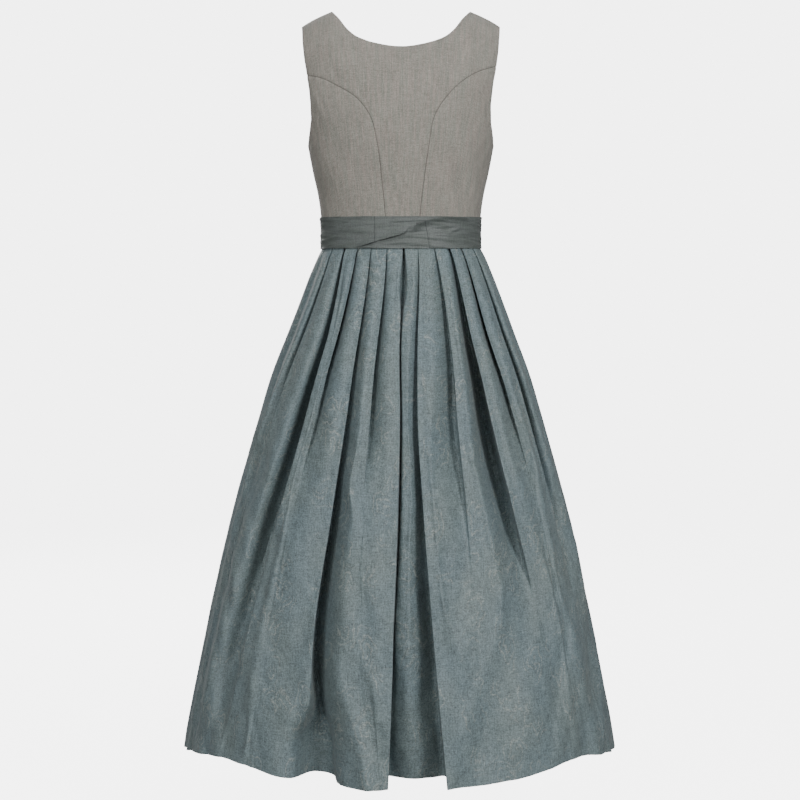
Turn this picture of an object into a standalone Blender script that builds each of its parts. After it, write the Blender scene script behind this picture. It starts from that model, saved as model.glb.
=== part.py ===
"""A long sleeveless dirndl on no wearer: fitted linen bodice, tied sash, pleated skirt.

Metres, +Z up. The back of the dress faces -Y and its front +Y. The origin is midway
between the two shoulder seams, at the height of their neck ends. Every piece of cloth
is a wall: its outer grid of points, the same grid moved inwards, and a rim.
"""

import math
from collections import namedtuple

import bpy
import numpy as np

# Cloth and seams
WALL = 0.0015
SEAM_HALF_GAP = 0.00015
MITRE_LEAST = 0.45
SHARP_ANGLE = math.radians(40)

# Heights of the main levels
WAIST_SEAM_Z = -0.3800
SASH_TOP_Z = -0.3560
SASH_BOTTOM_Z = -0.4090
SASH_SIDE_RISE = 0.0055
HEM_Z = -1.2640
UNDERARM_Z = -0.2290

# Shoulders: the seam runs from the neck point to the tip and drops towards the tip
NECK_POINT_ANGLE = math.radians(38.4)
SHOULDER_TIP_ANGLE = math.radians(63.7)
SHOULDER_DROP = 0.0260
BACK_ROUNDING = 0.070
FRONT_ROUNDING = 0.085

# Bust: two soft cups that the front's cut and darts give
CUP_X = 0.082
CUP_Z = -0.238
CUP_WIDTH = 0.050
CUP_HEIGHT = 0.056
CUP_DEPTH = 0.016

Section = namedtuple("Section", "z half_width back_depth front_depth")

TORSO = [
    Section(0.000, 0.1900, 0.060, 0.058),
    Section(-0.050, 0.1875, 0.074, 0.072),
    Section(-0.100, 0.1810, 0.089, 0.088),
    Section(-0.150, 0.1740, 0.099, 0.100),
    Section(-0.200, 0.1648, 0.104, 0.110),
    Section(-0.229, 0.1592, 0.104, 0.113),
    Section(-0.275, 0.1505, 0.100, 0.109),
    Section(-0.316, 0.1415, 0.096, 0.102),
    Section(-0.354, 0.1367, 0.094, 0.100),
    Section(-0.420, 0.1365, 0.094, 0.100),
]

SKIRT = [
    Section(-0.3803, 0.1365, 0.094, 0.100),
    Section(-0.4100, 0.1367, 0.094, 0.100),
    Section(-0.4160, 0.1405, 0.098, 0.104),
    Section(-0.4436, 0.1530, 0.110, 0.116),
    Section(-0.4780, 0.1660, 0.122, 0.127),
    Section(-0.5470, 0.1925, 0.145, 0.149),
    Section(-0.6160, 0.2184, 0.166, 0.168),
    Section(-0.6840, 0.2390, 0.183, 0.184),
    Section(-0.7530, 0.2589, 0.200, 0.200),
    Section(-0.8220, 0.2778, 0.216, 0.215),
    Section(-0.9600, 0.3104, 0.243, 0.241),
    Section(-1.0970, 0.3380, 0.266, 0.262),
    Section(-1.2350, 0.3646, 0.287, 0.281),
    Section(-1.2640, 0.3690, 0.290, 0.284),
]

# Rows of the skirt's wall, from the waist seam to the hem
SKIRT_ROWS = (-0.3803, -0.4100, -0.4160, -0.4400, -0.4800, -0.5400, -0.6200,
              -0.7200, -0.8300, -0.9500, -1.0700, -1.1750, -1.2640)
# Under the sash the pleats lie flatter: this share of their depth at the first two rows
PRESSED_SHARES = (0.4, 0.9)
# The sash's tilt at the sides fades out over this share of the skirt's length
TILT_SHARE = 0.25

HemRise = namedtuple("HemRise", "angle rise")

# The hem lies a little higher between the middle of the back or front and the sides
HEM_RISES = [
    HemRise(0.0, 0.000),
    HemRise(18.0, 0.001),
    HemRise(30.0, 0.009),
    HemRise(50.0, 0.024),
    HemRise(66.0, 0.018),
    HemRise(79.0, 0.009),
    HemRise(90.0, 0.006),
    HemRise(101.0, 0.009),
]

# Heights at which each fold's angles and depths are given
FOLD_LEVELS = (-0.410, -0.550, -0.690, -0.820, -1.030, -1.264)
# Half the width of a fold at those heights, in metres
FOLD_HALF_WIDTHS = (0.0028, 0.0085, 0.0140, 0.0200, 0.0280, 0.0340)

# A fold runs down the skirt at these angles from the middle (degrees, + towards +X),
# as deep as depths says (mm). left and right widen or narrow its two flanks.
# panel is how far the cloth between this fold and the next stands back (mm).
Fold = namedtuple("Fold", "angles depths left right panel")

FLAT_PANEL = (0, 0, 0, 0, 0, 0)

BACK_FOLDS = [
    Fold((-70, -72, -76, -78, -80, -80), (6, 9, 3, 0, 0, 0), 1.0, 1.0, FLAT_PANEL),
    Fold((-55, -57, -63, -66, -70, -72), (7, 16, 8, 0, 0, 0), 1.0, 1.0, FLAT_PANEL),
    Fold((-44, -41.5, -43.5, -46.5, -54, -58), (7, 26, 38, 38, 20, 6), 1.0, 1.1, FLAT_PANEL),
    Fold((-32.4, -31.8, -35, -37, -39, -40), (7, 20, 10, 0, 0, 0), 0.9, 0.9, FLAT_PANEL),
    Fold((-21.2, -20.6, -21.3, -22.7, -24.5, -24.6), (7, 20, 34, 48, 68, 83), 0.8, 1.2, FLAT_PANEL),
    Fold((-10, -10.5, -11.2, -12, -13, -13), (7, 20, 10, 0, 0, 0), 0.9, 0.9, FLAT_PANEL),
    Fold((1.7, 0.7, 0.0, -0.5, -2.0, -3.2), (8, 24, 28, 38, 64, 88), 0.8, 0.7,
         (0, 2, 7, 14, 36, 73)),
    Fold((12.7, 8.6, 6.9, 7.3, 8.7, 11.4), (7, 20, 28, 42, 66, 89), 0.7, 0.9, FLAT_PANEL),
    Fold((24.9, 25.0, 23.0, 22.4, 22, 22), (7, 22, 18, 5, 0, 0), 1.0, 1.0, FLAT_PANEL),
    Fold((37.7, 36.5, 37.6, 39.6, 43, 46), (7, 30, 38, 30, 14, 6), 1.1, 1.1, FLAT_PANEL),
    Fold((49, 48.2, 52, 54, 56, 57), (7, 16, 6, 0, 0, 0), 0.9, 0.9, FLAT_PANEL),
    Fold((62.5, 61, 63.5, 64, 66, 68), (7, 20, 20, 8, 0, 0), 1.0, 1.0, FLAT_PANEL),
    Fold((74, 75, 78, 80, 80, 80), (6, 9, 3, 0, 0, 0), 1.0, 1.0, FLAT_PANEL),
]

FRONT_FOLDS = [
    Fold((-73, -74, -76, -78, -80, -80), (6, 10, 4, 0, 0, 0), 1.0, 1.0, FLAT_PANEL),
    Fold((-61, -60, -62, -64, -66, -68), (7, 18, 22, 16, 6, 0), 1.0, 1.0, FLAT_PANEL),
    Fold((-50, -50, -52, -53, -54, -55), (7, 18, 8, 0, 0, 0), 0.9, 0.9, FLAT_PANEL),
    Fold((-39, -38, -39, -41, -43, -45), (7, 26, 36, 42, 46, 50), 1.0, 1.1, FLAT_PANEL),
    Fold((-28, -28, -29, -30, -31, -32), (7, 20, 10, 0, 0, 0), 0.9, 0.9, FLAT_PANEL),
    Fold((-17, -16, -16, -17, -18, -19), (7, 22, 30, 36, 50, 62), 0.9, 1.1, FLAT_PANEL),
    Fold((-6, -6, -6.5, -7, -7, -7), (7, 18, 10, 2, 0, 0), 0.9, 0.9, FLAT_PANEL),
    Fold((5.5, 5, 4, 3.5, 3, 3), (8, 22, 30, 42, 60, 74), 0.9, 0.9, FLAT_PANEL),
    Fold((16.5, 17, 16, 16, 16, 16), (7, 18, 12, 0, 0, 0), 0.9, 0.9, FLAT_PANEL),
    Fold((27.5, 27, 26.5, 27, 28, 29), (7, 24, 34, 44, 54, 60), 1.1, 0.9, FLAT_PANEL),
    Fold((38.5, 39, 40, 41, 42, 43), (7, 18, 10, 2, 0, 0), 0.9, 0.9, FLAT_PANEL),
    Fold((49.5, 49, 49, 50, 52, 54), (7, 24, 30, 26, 14, 6), 1.0, 1.0, FLAT_PANEL),
    Fold((60.5, 61, 62, 63, 65, 66), (7, 16, 8, 0, 0, 0), 0.9, 0.9, FLAT_PANEL),
    Fold((73, 73, 75, 77, 80, 80), (6, 12, 8, 2, 0, 0), 1.0, 1.0, FLAT_PANEL),
]

# A crown stands on each panel between two folds
PANEL_CROWN = 0.0025
# A fold may take up to this share of the way to its neighbour
MOST_FLANK_SHARE = 0.40
# A flank bends at this share of its width, where it has come this share of its depth
FLANK_BEND = 0.45
FLANK_BEND_DEPTH = 0.62

# Cut lines of the bodice, seen straight from behind or from the front, as (x, z).
# The right half of a line that both sides share is mirrored.
BACK_NECKLINE = [(0.118, 0.0), (0.1044, -0.0174), (0.0889, -0.0400), (0.0753, -0.0523),
                 (0.0603, -0.0598), (0.0398, -0.0667), (0.0189, -0.0709), (0.0, -0.0726)]
# The armholes go on from the shoulder tip.
BACK_ARMHOLE = [(0.1675, -0.050), (0.1635, -0.085), (0.1585, -0.115), (0.155, -0.142),
                (0.1530, -0.169), (0.1535, -0.196), (0.1570, -0.217)]
FRONT_NECKLINE = [(0.118, 0.0), (0.113, -0.040), (0.103, -0.080), (0.084, -0.115),
                  (0.056, -0.137), (0.028, -0.147), (0.0, -0.150)]
FRONT_ARMHOLE = [(0.160, -0.060), (0.1500, -0.100), (0.1455, -0.140), (0.1470, -0.180),
                 (0.1520, -0.207), (0.1568, -0.2225)]
LEFT_BACK_SEAM = [(-0.1330, -0.1225), (-0.1090, -0.1357), (-0.0728, -0.1601),
                  (-0.0501, -0.1923), (-0.0401, -0.2307), (-0.0318, -0.2959),
                  (-0.0235, -0.3800)]
RIGHT_BACK_SEAM = [(0.1432, -0.1056), (0.1242, -0.1147), (0.0803, -0.1518),
                   (0.0551, -0.1923), (0.0476, -0.2340), (0.0384, -0.2959),
                   (0.0290, -0.3800)]
# Height at which each back seam leaves the armhole
LEFT_SEAM_START_Z = -0.1149
RIGHT_SEAM_START_Z = -0.0997
# The armhole's own points keep at least this far above or below that place
JUNCTION_CLEARANCE = 0.012

# Line along which the sash's two ends cross at the back, as (x, z)
CROSSING = [(-0.0785, -0.4080), (-0.0434, -0.3962), (-0.0017, -0.3845), (0.0267, -0.3711),
            (0.0484, -0.3628), (0.0802, -0.3578), (0.1170, -0.3566)]
CROSSING_SWAP_X = 0.0134
CROSSING_RAISE = 0.0012
CROSSING_LEAST_HEIGHT = 0.0006
SASH_CLEARANCE = 0.0008
SASH_ROWS = 4
SASH_SIDE_COLUMNS = 10
SASH_FRONT_COLUMNS = 33
CROSSING_COLUMNS = 19

# Columns and rows of the bodice's walls
SHOULDER_COLUMNS = 3
NECK_COLUMNS = 14
SEAM_ROWS = 10
UPPER_ROWS = 6
SIDE_COLUMNS = 7
FRONT_COLUMNS = 10
FRONT_SIDE_ROWS = 6
BETWEEN_ROWS = 4
NECK_ROWS = 8
# Points of a cut line before it is divided evenly, and the torso's usual half width
FINE_POINTS = 120
TORSO_REACH = 0.17

Cloth = namedtuple("Cloth", "name colour roughness")

LINEN = Cloth("linen", (0.255, 0.240, 0.210), 0.85)
SKIRT_CLOTH = Cloth("skirt_cloth", (0.143, 0.187, 0.195), 0.60)
SASH_CLOTH = Cloth("sash_cloth", (0.100, 0.115, 0.109), 0.50)


def clear_scene():
    for obj in list(bpy.data.objects):
        bpy.data.objects.remove(obj, do_unlink=True)


def material(cloth):
    made = bpy.data.materials.new(cloth.name)
    made.use_nodes = True
    shader = made.node_tree.nodes["Principled BSDF"]
    shader.inputs["Base Color"].default_value = (*cloth.colour, 1.0)
    shader.inputs["Roughness"].default_value = cloth.roughness
    shader.inputs["Metallic"].default_value = 0.0
    return made


def smooth(at, xs, ys):
    """The smooth curve through the points (xs, ys), xs rising, read at the places at."""
    xs = np.asarray(xs, float)
    ys = np.asarray(ys, float)
    at = np.clip(np.asarray(at, float), xs[0], xs[-1])
    slopes = np.gradient(ys, xs)
    i = np.clip(np.searchsorted(xs, at, side="right") - 1, 0, len(xs) - 2)
    step = xs[i + 1] - xs[i]
    t = (at - xs[i]) / step
    return (
        (2 * t**3 - 3 * t**2 + 1) * ys[i]
        + (t**3 - 2 * t**2 + t) * step * slopes[i]
        + (3 * t**2 - 2 * t**3) * ys[i + 1]
        + (t**3 - t**2) * step * slopes[i + 1]
    )


def section(table, z):
    """Half width, back depth and front depth of a table of sections at the height z."""
    heights = [row.z for row in table][::-1]
    return [
        float(smooth(z, heights, [getattr(row, side) for row in table][::-1]))
        for side in ("half_width", "back_depth", "front_depth")
    ]


def even_points(points, count):
    """count points evenly spaced along the smooth curve through the given (x, z) points."""
    points = np.asarray(points, float)
    steps = np.linalg.norm(np.diff(points, axis=0), axis=1)
    along = np.concatenate([[0.0], np.cumsum(steps)])
    at = np.linspace(0.0, along[-1], count)
    return np.column_stack([smooth(at, along, points[:, k]) for k in (0, 1)])


def mirrored(points):
    return [(-x, z) for x, z in points]


# The bodice is laid out on the body as an angle round it (0 in the middle of the back
# or front, 90 degrees at the side seam) and a run down it from the shoulder seam.


def seam_height(angle):
    """Height of the shoulder seam's ridge above this angle."""
    share = (abs(angle) - NECK_POINT_ANGLE) / (SHOULDER_TIP_ANGLE - NECK_POINT_ANGLE)
    return -SHOULDER_DROP * min(max(share, 0.0), 1.0)


def laid(x, z, rounding):
    """The (angle, run) of the body's point seen at (x, z)."""
    half_width = section(TORSO, z)[0]
    angle = math.asin(max(-1.0, min(1.0, x / half_width)))
    drop = max(seam_height(angle) - z, 0.0)
    if drop < rounding:
        return angle, rounding * math.acos(1.0 - drop / rounding)
    return angle, rounding * math.pi / 2 + drop - rounding


def cup(x, z):
    """How far the front stands out over the bust."""
    across = (abs(x) - CUP_X) / CUP_WIDTH
    down = (z - CUP_Z) / CUP_HEIGHT
    return CUP_DEPTH * math.exp(-(across**2) - down**2)


def on_body(angle, run, front):
    """The point of the body's surface at this angle and run."""
    rounding = FRONT_ROUNDING if front else BACK_ROUNDING
    turn = min(run / rounding, math.pi / 2)
    z = seam_height(angle) - rounding * (1 - math.cos(turn))
    z -= max(run - rounding * math.pi / 2, 0.0)
    half_width, back, forward = section(TORSO, z)
    x = half_width * math.sin(angle)
    depth = (forward if front else back) * math.cos(angle) * math.sin(turn)
    if front:
        facing = math.sqrt(max(math.cos(angle), 0.0))
        return (x, depth + cup(x, z) * math.sin(turn) * facing, z)
    return (x, -depth, z)


def patch(bottom, top, left, right):
    """Rows of points that fill four edges, each a run of (angle, run) pairs."""
    bottom, top, left, right = (np.asarray(edge, float) for edge in (bottom, top, left, right))
    rows = []
    for j, (start, end) in enumerate(zip(left, right)):
        v = j / (len(left) - 1)
        row = []
        for i, (low, high) in enumerate(zip(bottom, top)):
            u = i / (len(bottom) - 1)
            corners = (
                (1 - u) * (1 - v) * bottom[0] + u * (1 - v) * bottom[-1]
                + (1 - u) * v * top[0] + u * v * top[-1]
            )
            row.append((1 - v) * low + v * high + (1 - u) * start + u * end - corners)
        rows.append(row)
    return rows


def hung(top, left, right, level_rows=0):
    """Rows between two side edges, whose columns keep their share of the width from the
    top edge down. Only above the first level_rows does the top's shape bend the rows."""
    top, left, right = (np.asarray(edge, float) for edge in (top, left, right))
    shares = (top[:, 0] - top[0, 0]) / (top[-1, 0] - top[0, 0])
    straight_top = (1 - shares) * top[0, 1] + shares * top[-1, 1]
    bends = top[:, 1] - straight_top
    runs = (left[:, 1] + right[:, 1]) / 2
    progress = (runs[level_rows] - runs) / (runs[level_rows] - runs[-1])
    rows = []
    for start, end, weight in zip(left, right, np.maximum(progress, 0.0)):
        angles = start[0] + shares * (end[0] - start[0])
        heights = (1 - shares) * start[1] + shares * end[1] + bends * weight
        rows.append(list(zip(angles, heights)))
    return rows


def narrowed(grid):
    """A grid of points with its four edges drawn in by half a seam's gap."""
    grid = np.asarray(grid, float).copy()

    def draw_in(edge, inner):
        step = inner - edge
        edge += SEAM_HALF_GAP * step / np.linalg.norm(step, axis=1)[:, None]

    draw_in(grid[:, 0], grid[:, 1].copy())
    draw_in(grid[:, -1], grid[:, -2].copy())
    draw_in(grid[0], grid[1].copy())
    draw_in(grid[-1], grid[-2].copy())
    return grid


def inner_grid(outer, thickness):
    """The outer grid moved in by the wall's thickness, square to its faces."""
    across = outer[:, 1:] - outer[:, :-1]
    up = outer[1:] - outer[:-1]
    normals = np.cross(across[:-1] + across[1:], up[:, :-1] + up[:, 1:])
    normals /= np.linalg.norm(normals, axis=2)[:, :, None]
    padded = np.pad(normals, ((1, 1), (1, 1), (0, 0)), mode="edge")
    around = np.stack([padded[:-1, :-1], padded[:-1, 1:], padded[1:, :-1], padded[1:, 1:]])
    mean = around.mean(axis=0)
    mean /= np.linalg.norm(mean, axis=2)[:, :, None]
    lean = np.maximum((around * mean).sum(axis=3).mean(axis=0), MITRE_LEAST)
    inner = outer - mean * (thickness / lean)[:, :, None]
    # An edge that lies in the middle plane of the dress, seen from the back or the side,
    # is cut square to that plane
    edge = np.ones(outer.shape[:2], bool)
    edge[1:-1, 1:-1] = False
    for axis in (0, 1):
        on_plane = edge & (np.abs(outer[:, :, axis]) < 2 * SEAM_HALF_GAP)
        inner[on_plane, axis] = outer[on_plane, axis]
    return inner


def wall(name, outer, cloth, thickness=WALL):
    """A closed wall whose outer face is the grid, rows upwards and columns to the right
    as seen from outside."""
    outer = np.asarray(outer, float)
    rows, columns = outer.shape[:2]
    points = np.concatenate([outer.reshape(-1, 3), inner_grid(outer, thickness).reshape(-1, 3)])
    inner = rows * columns

    def at(j, i):
        return j * columns + i

    faces = []
    for j in range(rows - 1):
        for i in range(columns - 1):
            quad = (at(j, i), at(j, i + 1), at(j + 1, i + 1), at(j + 1, i))
            faces.append(quad)
            faces.append(tuple(inner + corner for corner in quad[::-1]))
    rim = [at(0, i) for i in range(columns)]
    rim += [at(j, columns - 1) for j in range(1, rows)]
    rim += [at(rows - 1, i) for i in range(columns - 2, -1, -1)]
    rim += [at(j, 0) for j in range(rows - 2, 0, -1)]
    for first, second in zip(rim, rim[1:] + rim[:1]):
        faces.append((second, first, inner + first, inner + second))

    mesh = bpy.data.meshes.new(name)
    mesh.from_pydata([tuple(point) for point in points], [], faces)
    mesh.materials.append(cloth)
    mesh.shade_smooth()
    mesh.set_sharp_from_angle(angle=SHARP_ANGLE)
    obj = bpy.data.objects.new(name, mesh)
    bpy.context.scene.collection.objects.link(obj)
    return obj


def body_grid(rows, front):
    grid = [[on_body(angle, run, front) for angle, run in row] for row in rows]
    return narrowed(grid)


def laid_line(points, rounding, count):
    """count (angle, run) pairs, evenly spaced on the body along a cut line."""
    fine = [laid(x, z, rounding) for x, z in even_points(points, FINE_POINTS)]
    fine = np.array(fine) * (TORSO_REACH, 1.0)
    steps = np.linalg.norm(np.diff(fine, axis=0), axis=1)
    along = np.concatenate([[0.0], np.cumsum(steps)])
    at = np.linspace(0.0, along[-1], count)
    return [
        (float(np.interp(s, along, fine[:, 0])) / TORSO_REACH,
         float(np.interp(s, along, fine[:, 1])))
        for s in at
    ]


def waist_run(angle, rounding):
    return rounding * math.pi / 2 + seam_height(angle) - WAIST_SEAM_Z - rounding


def waist_line(start, end, count, rounding):
    return [(angle, waist_run(angle, rounding)) for angle in np.linspace(start, end, count)]


def underarm_point():
    return section(TORSO, UNDERARM_Z)[0], UNDERARM_Z


def shoulder_tip():
    return section(TORSO, -SHOULDER_DROP)[0] * math.sin(SHOULDER_TIP_ANGLE), -SHOULDER_DROP


def armhole_split(seam_start_z):
    """The back armhole above and below the place where a back seam leaves it."""
    heights = [z for x, z in BACK_ARMHOLE][::-1]
    widths = [x for x, z in BACK_ARMHOLE][::-1]
    junction = (float(smooth(seam_start_z, heights, widths)), seam_start_z)
    above = [point for point in BACK_ARMHOLE if point[1] > seam_start_z + JUNCTION_CLEARANCE]
    below = [point for point in BACK_ARMHOLE if point[1] < seam_start_z - JUNCTION_CLEARANCE]
    return [shoulder_tip()] + above + [junction], [junction] + below


def back_seam(points, start_z, side):
    """(angle, run) up a back seam from the waist to the armhole."""
    junction = armhole_split(start_z)[0][-1]
    line = [(side * junction[0], junction[1])] + points
    return laid_line(line[::-1], BACK_ROUNDING, SEAM_ROWS + 1)


def back_edge(points, start_z, side):
    """(angle, run) up a side edge of the centre back, its seam and then the armhole."""
    above = [(side * x, z) for x, z in armhole_split(start_z)[0][::-1]]
    upper = laid_line(above, BACK_ROUNDING, UPPER_ROWS + 1)
    return back_seam(points, start_z, side) + upper[1:]


def shoulder_line(side, count):
    """(angle, run) along a shoulder seam, from its tip to its neck point."""
    angles = np.linspace(SHOULDER_TIP_ANGLE, NECK_POINT_ANGLE, count)
    return [(side * angle, 0.0) for angle in angles]


def centre_back(cloth):
    neckline = mirrored(BACK_NECKLINE)[:-1] + BACK_NECKLINE[::-1]
    left_shoulder = shoulder_line(-1, SHOULDER_COLUMNS + 1)
    right_shoulder = shoulder_line(1, SHOULDER_COLUMNS + 1)[::-1]
    neck = laid_line(neckline, BACK_ROUNDING, NECK_COLUMNS + 1)
    top = left_shoulder[:-1] + neck + right_shoulder[1:]
    left = back_edge(LEFT_BACK_SEAM, LEFT_SEAM_START_Z, -1)
    right = back_edge(RIGHT_BACK_SEAM, RIGHT_SEAM_START_Z, 1)
    rows = hung(top, left, right, SEAM_ROWS)
    wall("bodice_back_centre", body_grid(rows, False), cloth)


def side_back(name, seam, start_z, side, cloth):
    inner = back_seam(seam, start_z, side)
    below = [(side * x, z) for x, z in armhole_split(start_z)[1] + [underarm_point()]]
    armhole = laid_line(below, BACK_ROUNDING, SIDE_COLUMNS + 1)
    underarm = armhole[-1]
    waist = waist_line(inner[0][0], side * math.pi / 2, SIDE_COLUMNS + 1, BACK_ROUNDING)
    outer = [
        (side * math.pi / 2, run)
        for run in np.linspace(waist[-1][1], underarm[1], SEAM_ROWS + 1)
    ]
    if side > 0:
        rows = patch(waist, armhole, inner, outer)
    else:
        rows = patch(waist[::-1], armhole[::-1], outer, inner)
    wall(name, body_grid(rows, False), cloth)


def front_run(angle, run, underarm):
    """The run of a front row at this angle: below the underarm the rows spread out so that
    they end level at the waist."""
    if run <= underarm:
        return run
    share = (run - underarm) / (waist_run(0.0, FRONT_ROUNDING) - underarm)
    return underarm + share * (waist_run(angle, FRONT_ROUNDING) - underarm)


def front(name, side, cloth):
    """Half of the front, whose rows run level round the body, from the middle or the
    neckline to the side seam or the armhole."""
    neck = np.array(laid_line(FRONT_NECKLINE, FRONT_ROUNDING, NECK_ROWS + 1))
    cut_line = [shoulder_tip()] + FRONT_ARMHOLE + [underarm_point()]
    armhole = np.array(laid_line(cut_line, FRONT_ROUNDING, FINE_POINTS))
    neck_bottom = neck[-1, 1]
    underarm = armhole[-1, 1]
    # The rows lie closer under the arm, where the armhole runs nearly level
    between = underarm + (neck_bottom - underarm) * np.linspace(0, 1, BETWEEN_ROWS + 1) ** 2
    below = np.linspace(waist_run(0.0, FRONT_ROUNDING), underarm, FRONT_SIDE_ROWS + 1)
    rows = []
    for run in np.concatenate([below, between[1:], neck[::-1, 1][1:]]):
        low = np.interp(run, neck[:, 1], neck[:, 0]) if run < neck_bottom else 0.0
        high = np.interp(run, armhole[:, 1], armhole[:, 0]) if run < underarm else math.pi / 2
        row = [
            (side * angle, front_run(angle, run, underarm))
            for angle in np.linspace(low, high, FRONT_COLUMNS + 1)
        ]
        rows.append(row[::-1] if side > 0 else row)
    wall(name, body_grid(rows, True), cloth)


# The sash


def sash_edges(angle):
    """Heights of the sash's lower and upper edge at this angle."""
    rise = SASH_SIDE_RISE * (1 - math.cos(angle))
    return SASH_BOTTOM_Z + rise, SASH_TOP_Z + rise


def crossing_height(x):
    xs = [point[0] for point in CROSSING]
    return float(smooth(x, xs, [point[1] for point in CROSSING]))


def sash_point(angle, z, front, outward):
    half_width, back, forward = section(TORSO, z)
    outward += SASH_CLEARANCE + WALL
    depth = (forward if front else back) + outward
    return ((half_width + outward) * math.sin(angle),
            (depth if front else -depth) * math.cos(angle), z)


def sash_back(name, angles, upper, cloth):
    """One end of the sash, above or below the line where the ends cross."""
    half_width = section(TORSO, WAIST_SEAM_Z)[0]
    raises = np.linspace(1, 0, SASH_ROWS) if upper else np.linspace(0, 1, SASH_ROWS)
    rows = [[] for _ in range(SASH_ROWS)]
    for angle in angles:
        x = half_width * math.sin(angle)
        low, high = sash_edges(angle)
        line = min(crossing_height(x), high - CROSSING_LEAST_HEIGHT)
        line = max(line, low + CROSSING_LEAST_HEIGHT + 2 * SEAM_HALF_GAP)
        crossed = CROSSING[0][0] - SEAM_HALF_GAP < x < CROSSING[-1][0] + SEAM_HALF_GAP
        if crossed and upper:
            low = line
        elif crossed:
            high = line - 2 * SEAM_HALF_GAP
        on_top = crossed and (x < CROSSING_SWAP_X) == upper
        raised = CROSSING_RAISE if on_top else 0.0
        for row, share, lift in zip(rows, np.linspace(0, 1, SASH_ROWS), raises):
            z = low + share * (high - low)
            row.append(sash_point(angle, z, False, raised * lift))
    wall(name, narrowed(rows), cloth)


def sash_front(cloth):
    rows = []
    for share in np.linspace(0, 1, SASH_ROWS):
        row = []
        for angle in np.linspace(math.pi / 2, -math.pi / 2, SASH_FRONT_COLUMNS):
            bottom, top = sash_edges(angle)
            row.append(sash_point(angle, bottom + share * (top - bottom), True, 0.0))
        rows.append(row)
    wall("sash_front", narrowed(rows), cloth)


def sash(cloth):
    half_width = section(TORSO, WAIST_SEAM_Z)[0]
    side = math.pi / 2
    first = math.asin(CROSSING[0][0] / half_width)
    last = math.asin(CROSSING[-1][0] / half_width)
    crossed = np.linspace(first, last, CROSSING_COLUMNS)
    before = np.linspace(-side, first, SASH_SIDE_COLUMNS)[:-1]
    after = np.linspace(last, side, SASH_SIDE_COLUMNS)[1:]
    sash_back("sash_left", np.concatenate([before, crossed]), True, cloth)
    sash_back("sash_right", np.concatenate([crossed, after]), False, cloth)
    sash_front(cloth)


# The skirt


def fold_at(fold, z):
    """A fold's angle, depth and half width, and the panel's set-back, at a height."""
    levels = FOLD_LEVELS[::-1]
    angle = math.radians(float(smooth(z, levels, fold.angles[::-1])))
    depth = float(np.interp(z, levels, fold.depths[::-1])) / 1000
    half_width = float(np.interp(z, levels, FOLD_HALF_WIDTHS[::-1]))
    panel = float(np.interp(z, levels, fold.panel[::-1])) / 1000
    return angle, depth, half_width, panel


def skirt_columns(folds, z, half_width, depth):
    """(angle, set-back) of each column of the skirt's wall at one height."""

    def stretch(angle):
        """Metres along the ring for each radian."""
        return math.hypot(half_width * math.cos(angle), depth * math.sin(angle))

    found = [fold_at(fold, z) for fold in folds]
    angles = [-math.pi / 2] + [row[0] for row in found] + [math.pi / 2]
    columns = [(-math.pi / 2, 0.0)]
    before = 0.0
    for k, (fold, (angle, fold_depth, fold_width, panel)) in enumerate(zip(folds, found)):
        left_most = MOST_FLANK_SHARE * (angle - angles[k])
        right_most = MOST_FLANK_SHARE * (angles[k + 2] - angle)
        left = min(fold_width * fold.left / stretch(angle), left_most)
        right = min(fold_width * fold.right / stretch(angle), right_most)
        previous = columns[-1][0]
        columns.append(((previous + angle - left) / 2, before - PANEL_CROWN))
        bottom = max(fold_depth, before, panel)
        left_bend = before + FLANK_BEND_DEPTH * (bottom - before)
        right_bend = panel + FLANK_BEND_DEPTH * (bottom - panel)
        columns.append((angle - left, before))
        columns.append((angle - FLANK_BEND * left, left_bend))
        columns.append((angle, bottom))
        columns.append((angle + FLANK_BEND * right, right_bend))
        columns.append((angle + right, panel))
        before = panel
    columns.append(((columns[-1][0] + math.pi / 2) / 2, before - PANEL_CROWN))
    columns.append((math.pi / 2, before))
    return columns


def hem_rise(angle):
    degrees = [row.angle for row in HEM_RISES]
    rises = [row.rise for row in HEM_RISES]
    return float(smooth(abs(math.degrees(angle)), degrees, rises))


def skirt_height(z, angle):
    """The height of a row's point, with the sash's tilt at its top and the hem's at its foot."""
    down = (SKIRT_ROWS[0] - z) / (SKIRT_ROWS[0] - HEM_Z)
    tilt = SASH_SIDE_RISE * (1 - math.cos(angle)) * max(0.0, 1 - down / TILT_SHARE)
    if z == SKIRT_ROWS[0]:
        tilt = 0.0
    return z + tilt + hem_rise(angle) * down**3


def skirt_half(name, folds, front, cloth):
    rows = []
    for z in SKIRT_ROWS[::-1]:
        half_width, back, forward = section(SKIRT, z)
        depth = forward if front else back
        row = []
        for angle, set_back in skirt_columns(folds, z, half_width, depth):
            if z >= SKIRT_ROWS[1]:
                set_back = max(set_back, 0.0) * PRESSED_SHARES[SKIRT_ROWS.index(z)]
            normal = np.array([math.sin(angle) / half_width, math.cos(angle) / depth])
            normal /= np.linalg.norm(normal)
            x = half_width * math.sin(angle) - set_back * normal[0]
            y = depth * math.cos(angle) - set_back * normal[1]
            row.append((x, y if front else -y, skirt_height(z, angle)))
        rows.append(row[::-1] if front else row)
    wall(name, narrowed(rows), cloth)


def main():
    clear_scene()
    linen = material(LINEN)
    skirt_cloth = material(SKIRT_CLOTH)
    sash_cloth = material(SASH_CLOTH)
    centre_back(linen)
    side_back("bodice_back_left", LEFT_BACK_SEAM, LEFT_SEAM_START_Z, -1, linen)
    side_back("bodice_back_right", RIGHT_BACK_SEAM, RIGHT_SEAM_START_Z, 1, linen)
    front("bodice_front_left", -1, linen)
    front("bodice_front_right", 1, linen)
    sash(sash_cloth)
    skirt_half("skirt_back", BACK_FOLDS, False, skirt_cloth)
    skirt_half("skirt_front", FRONT_FOLDS, True, skirt_cloth)


main()
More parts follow.
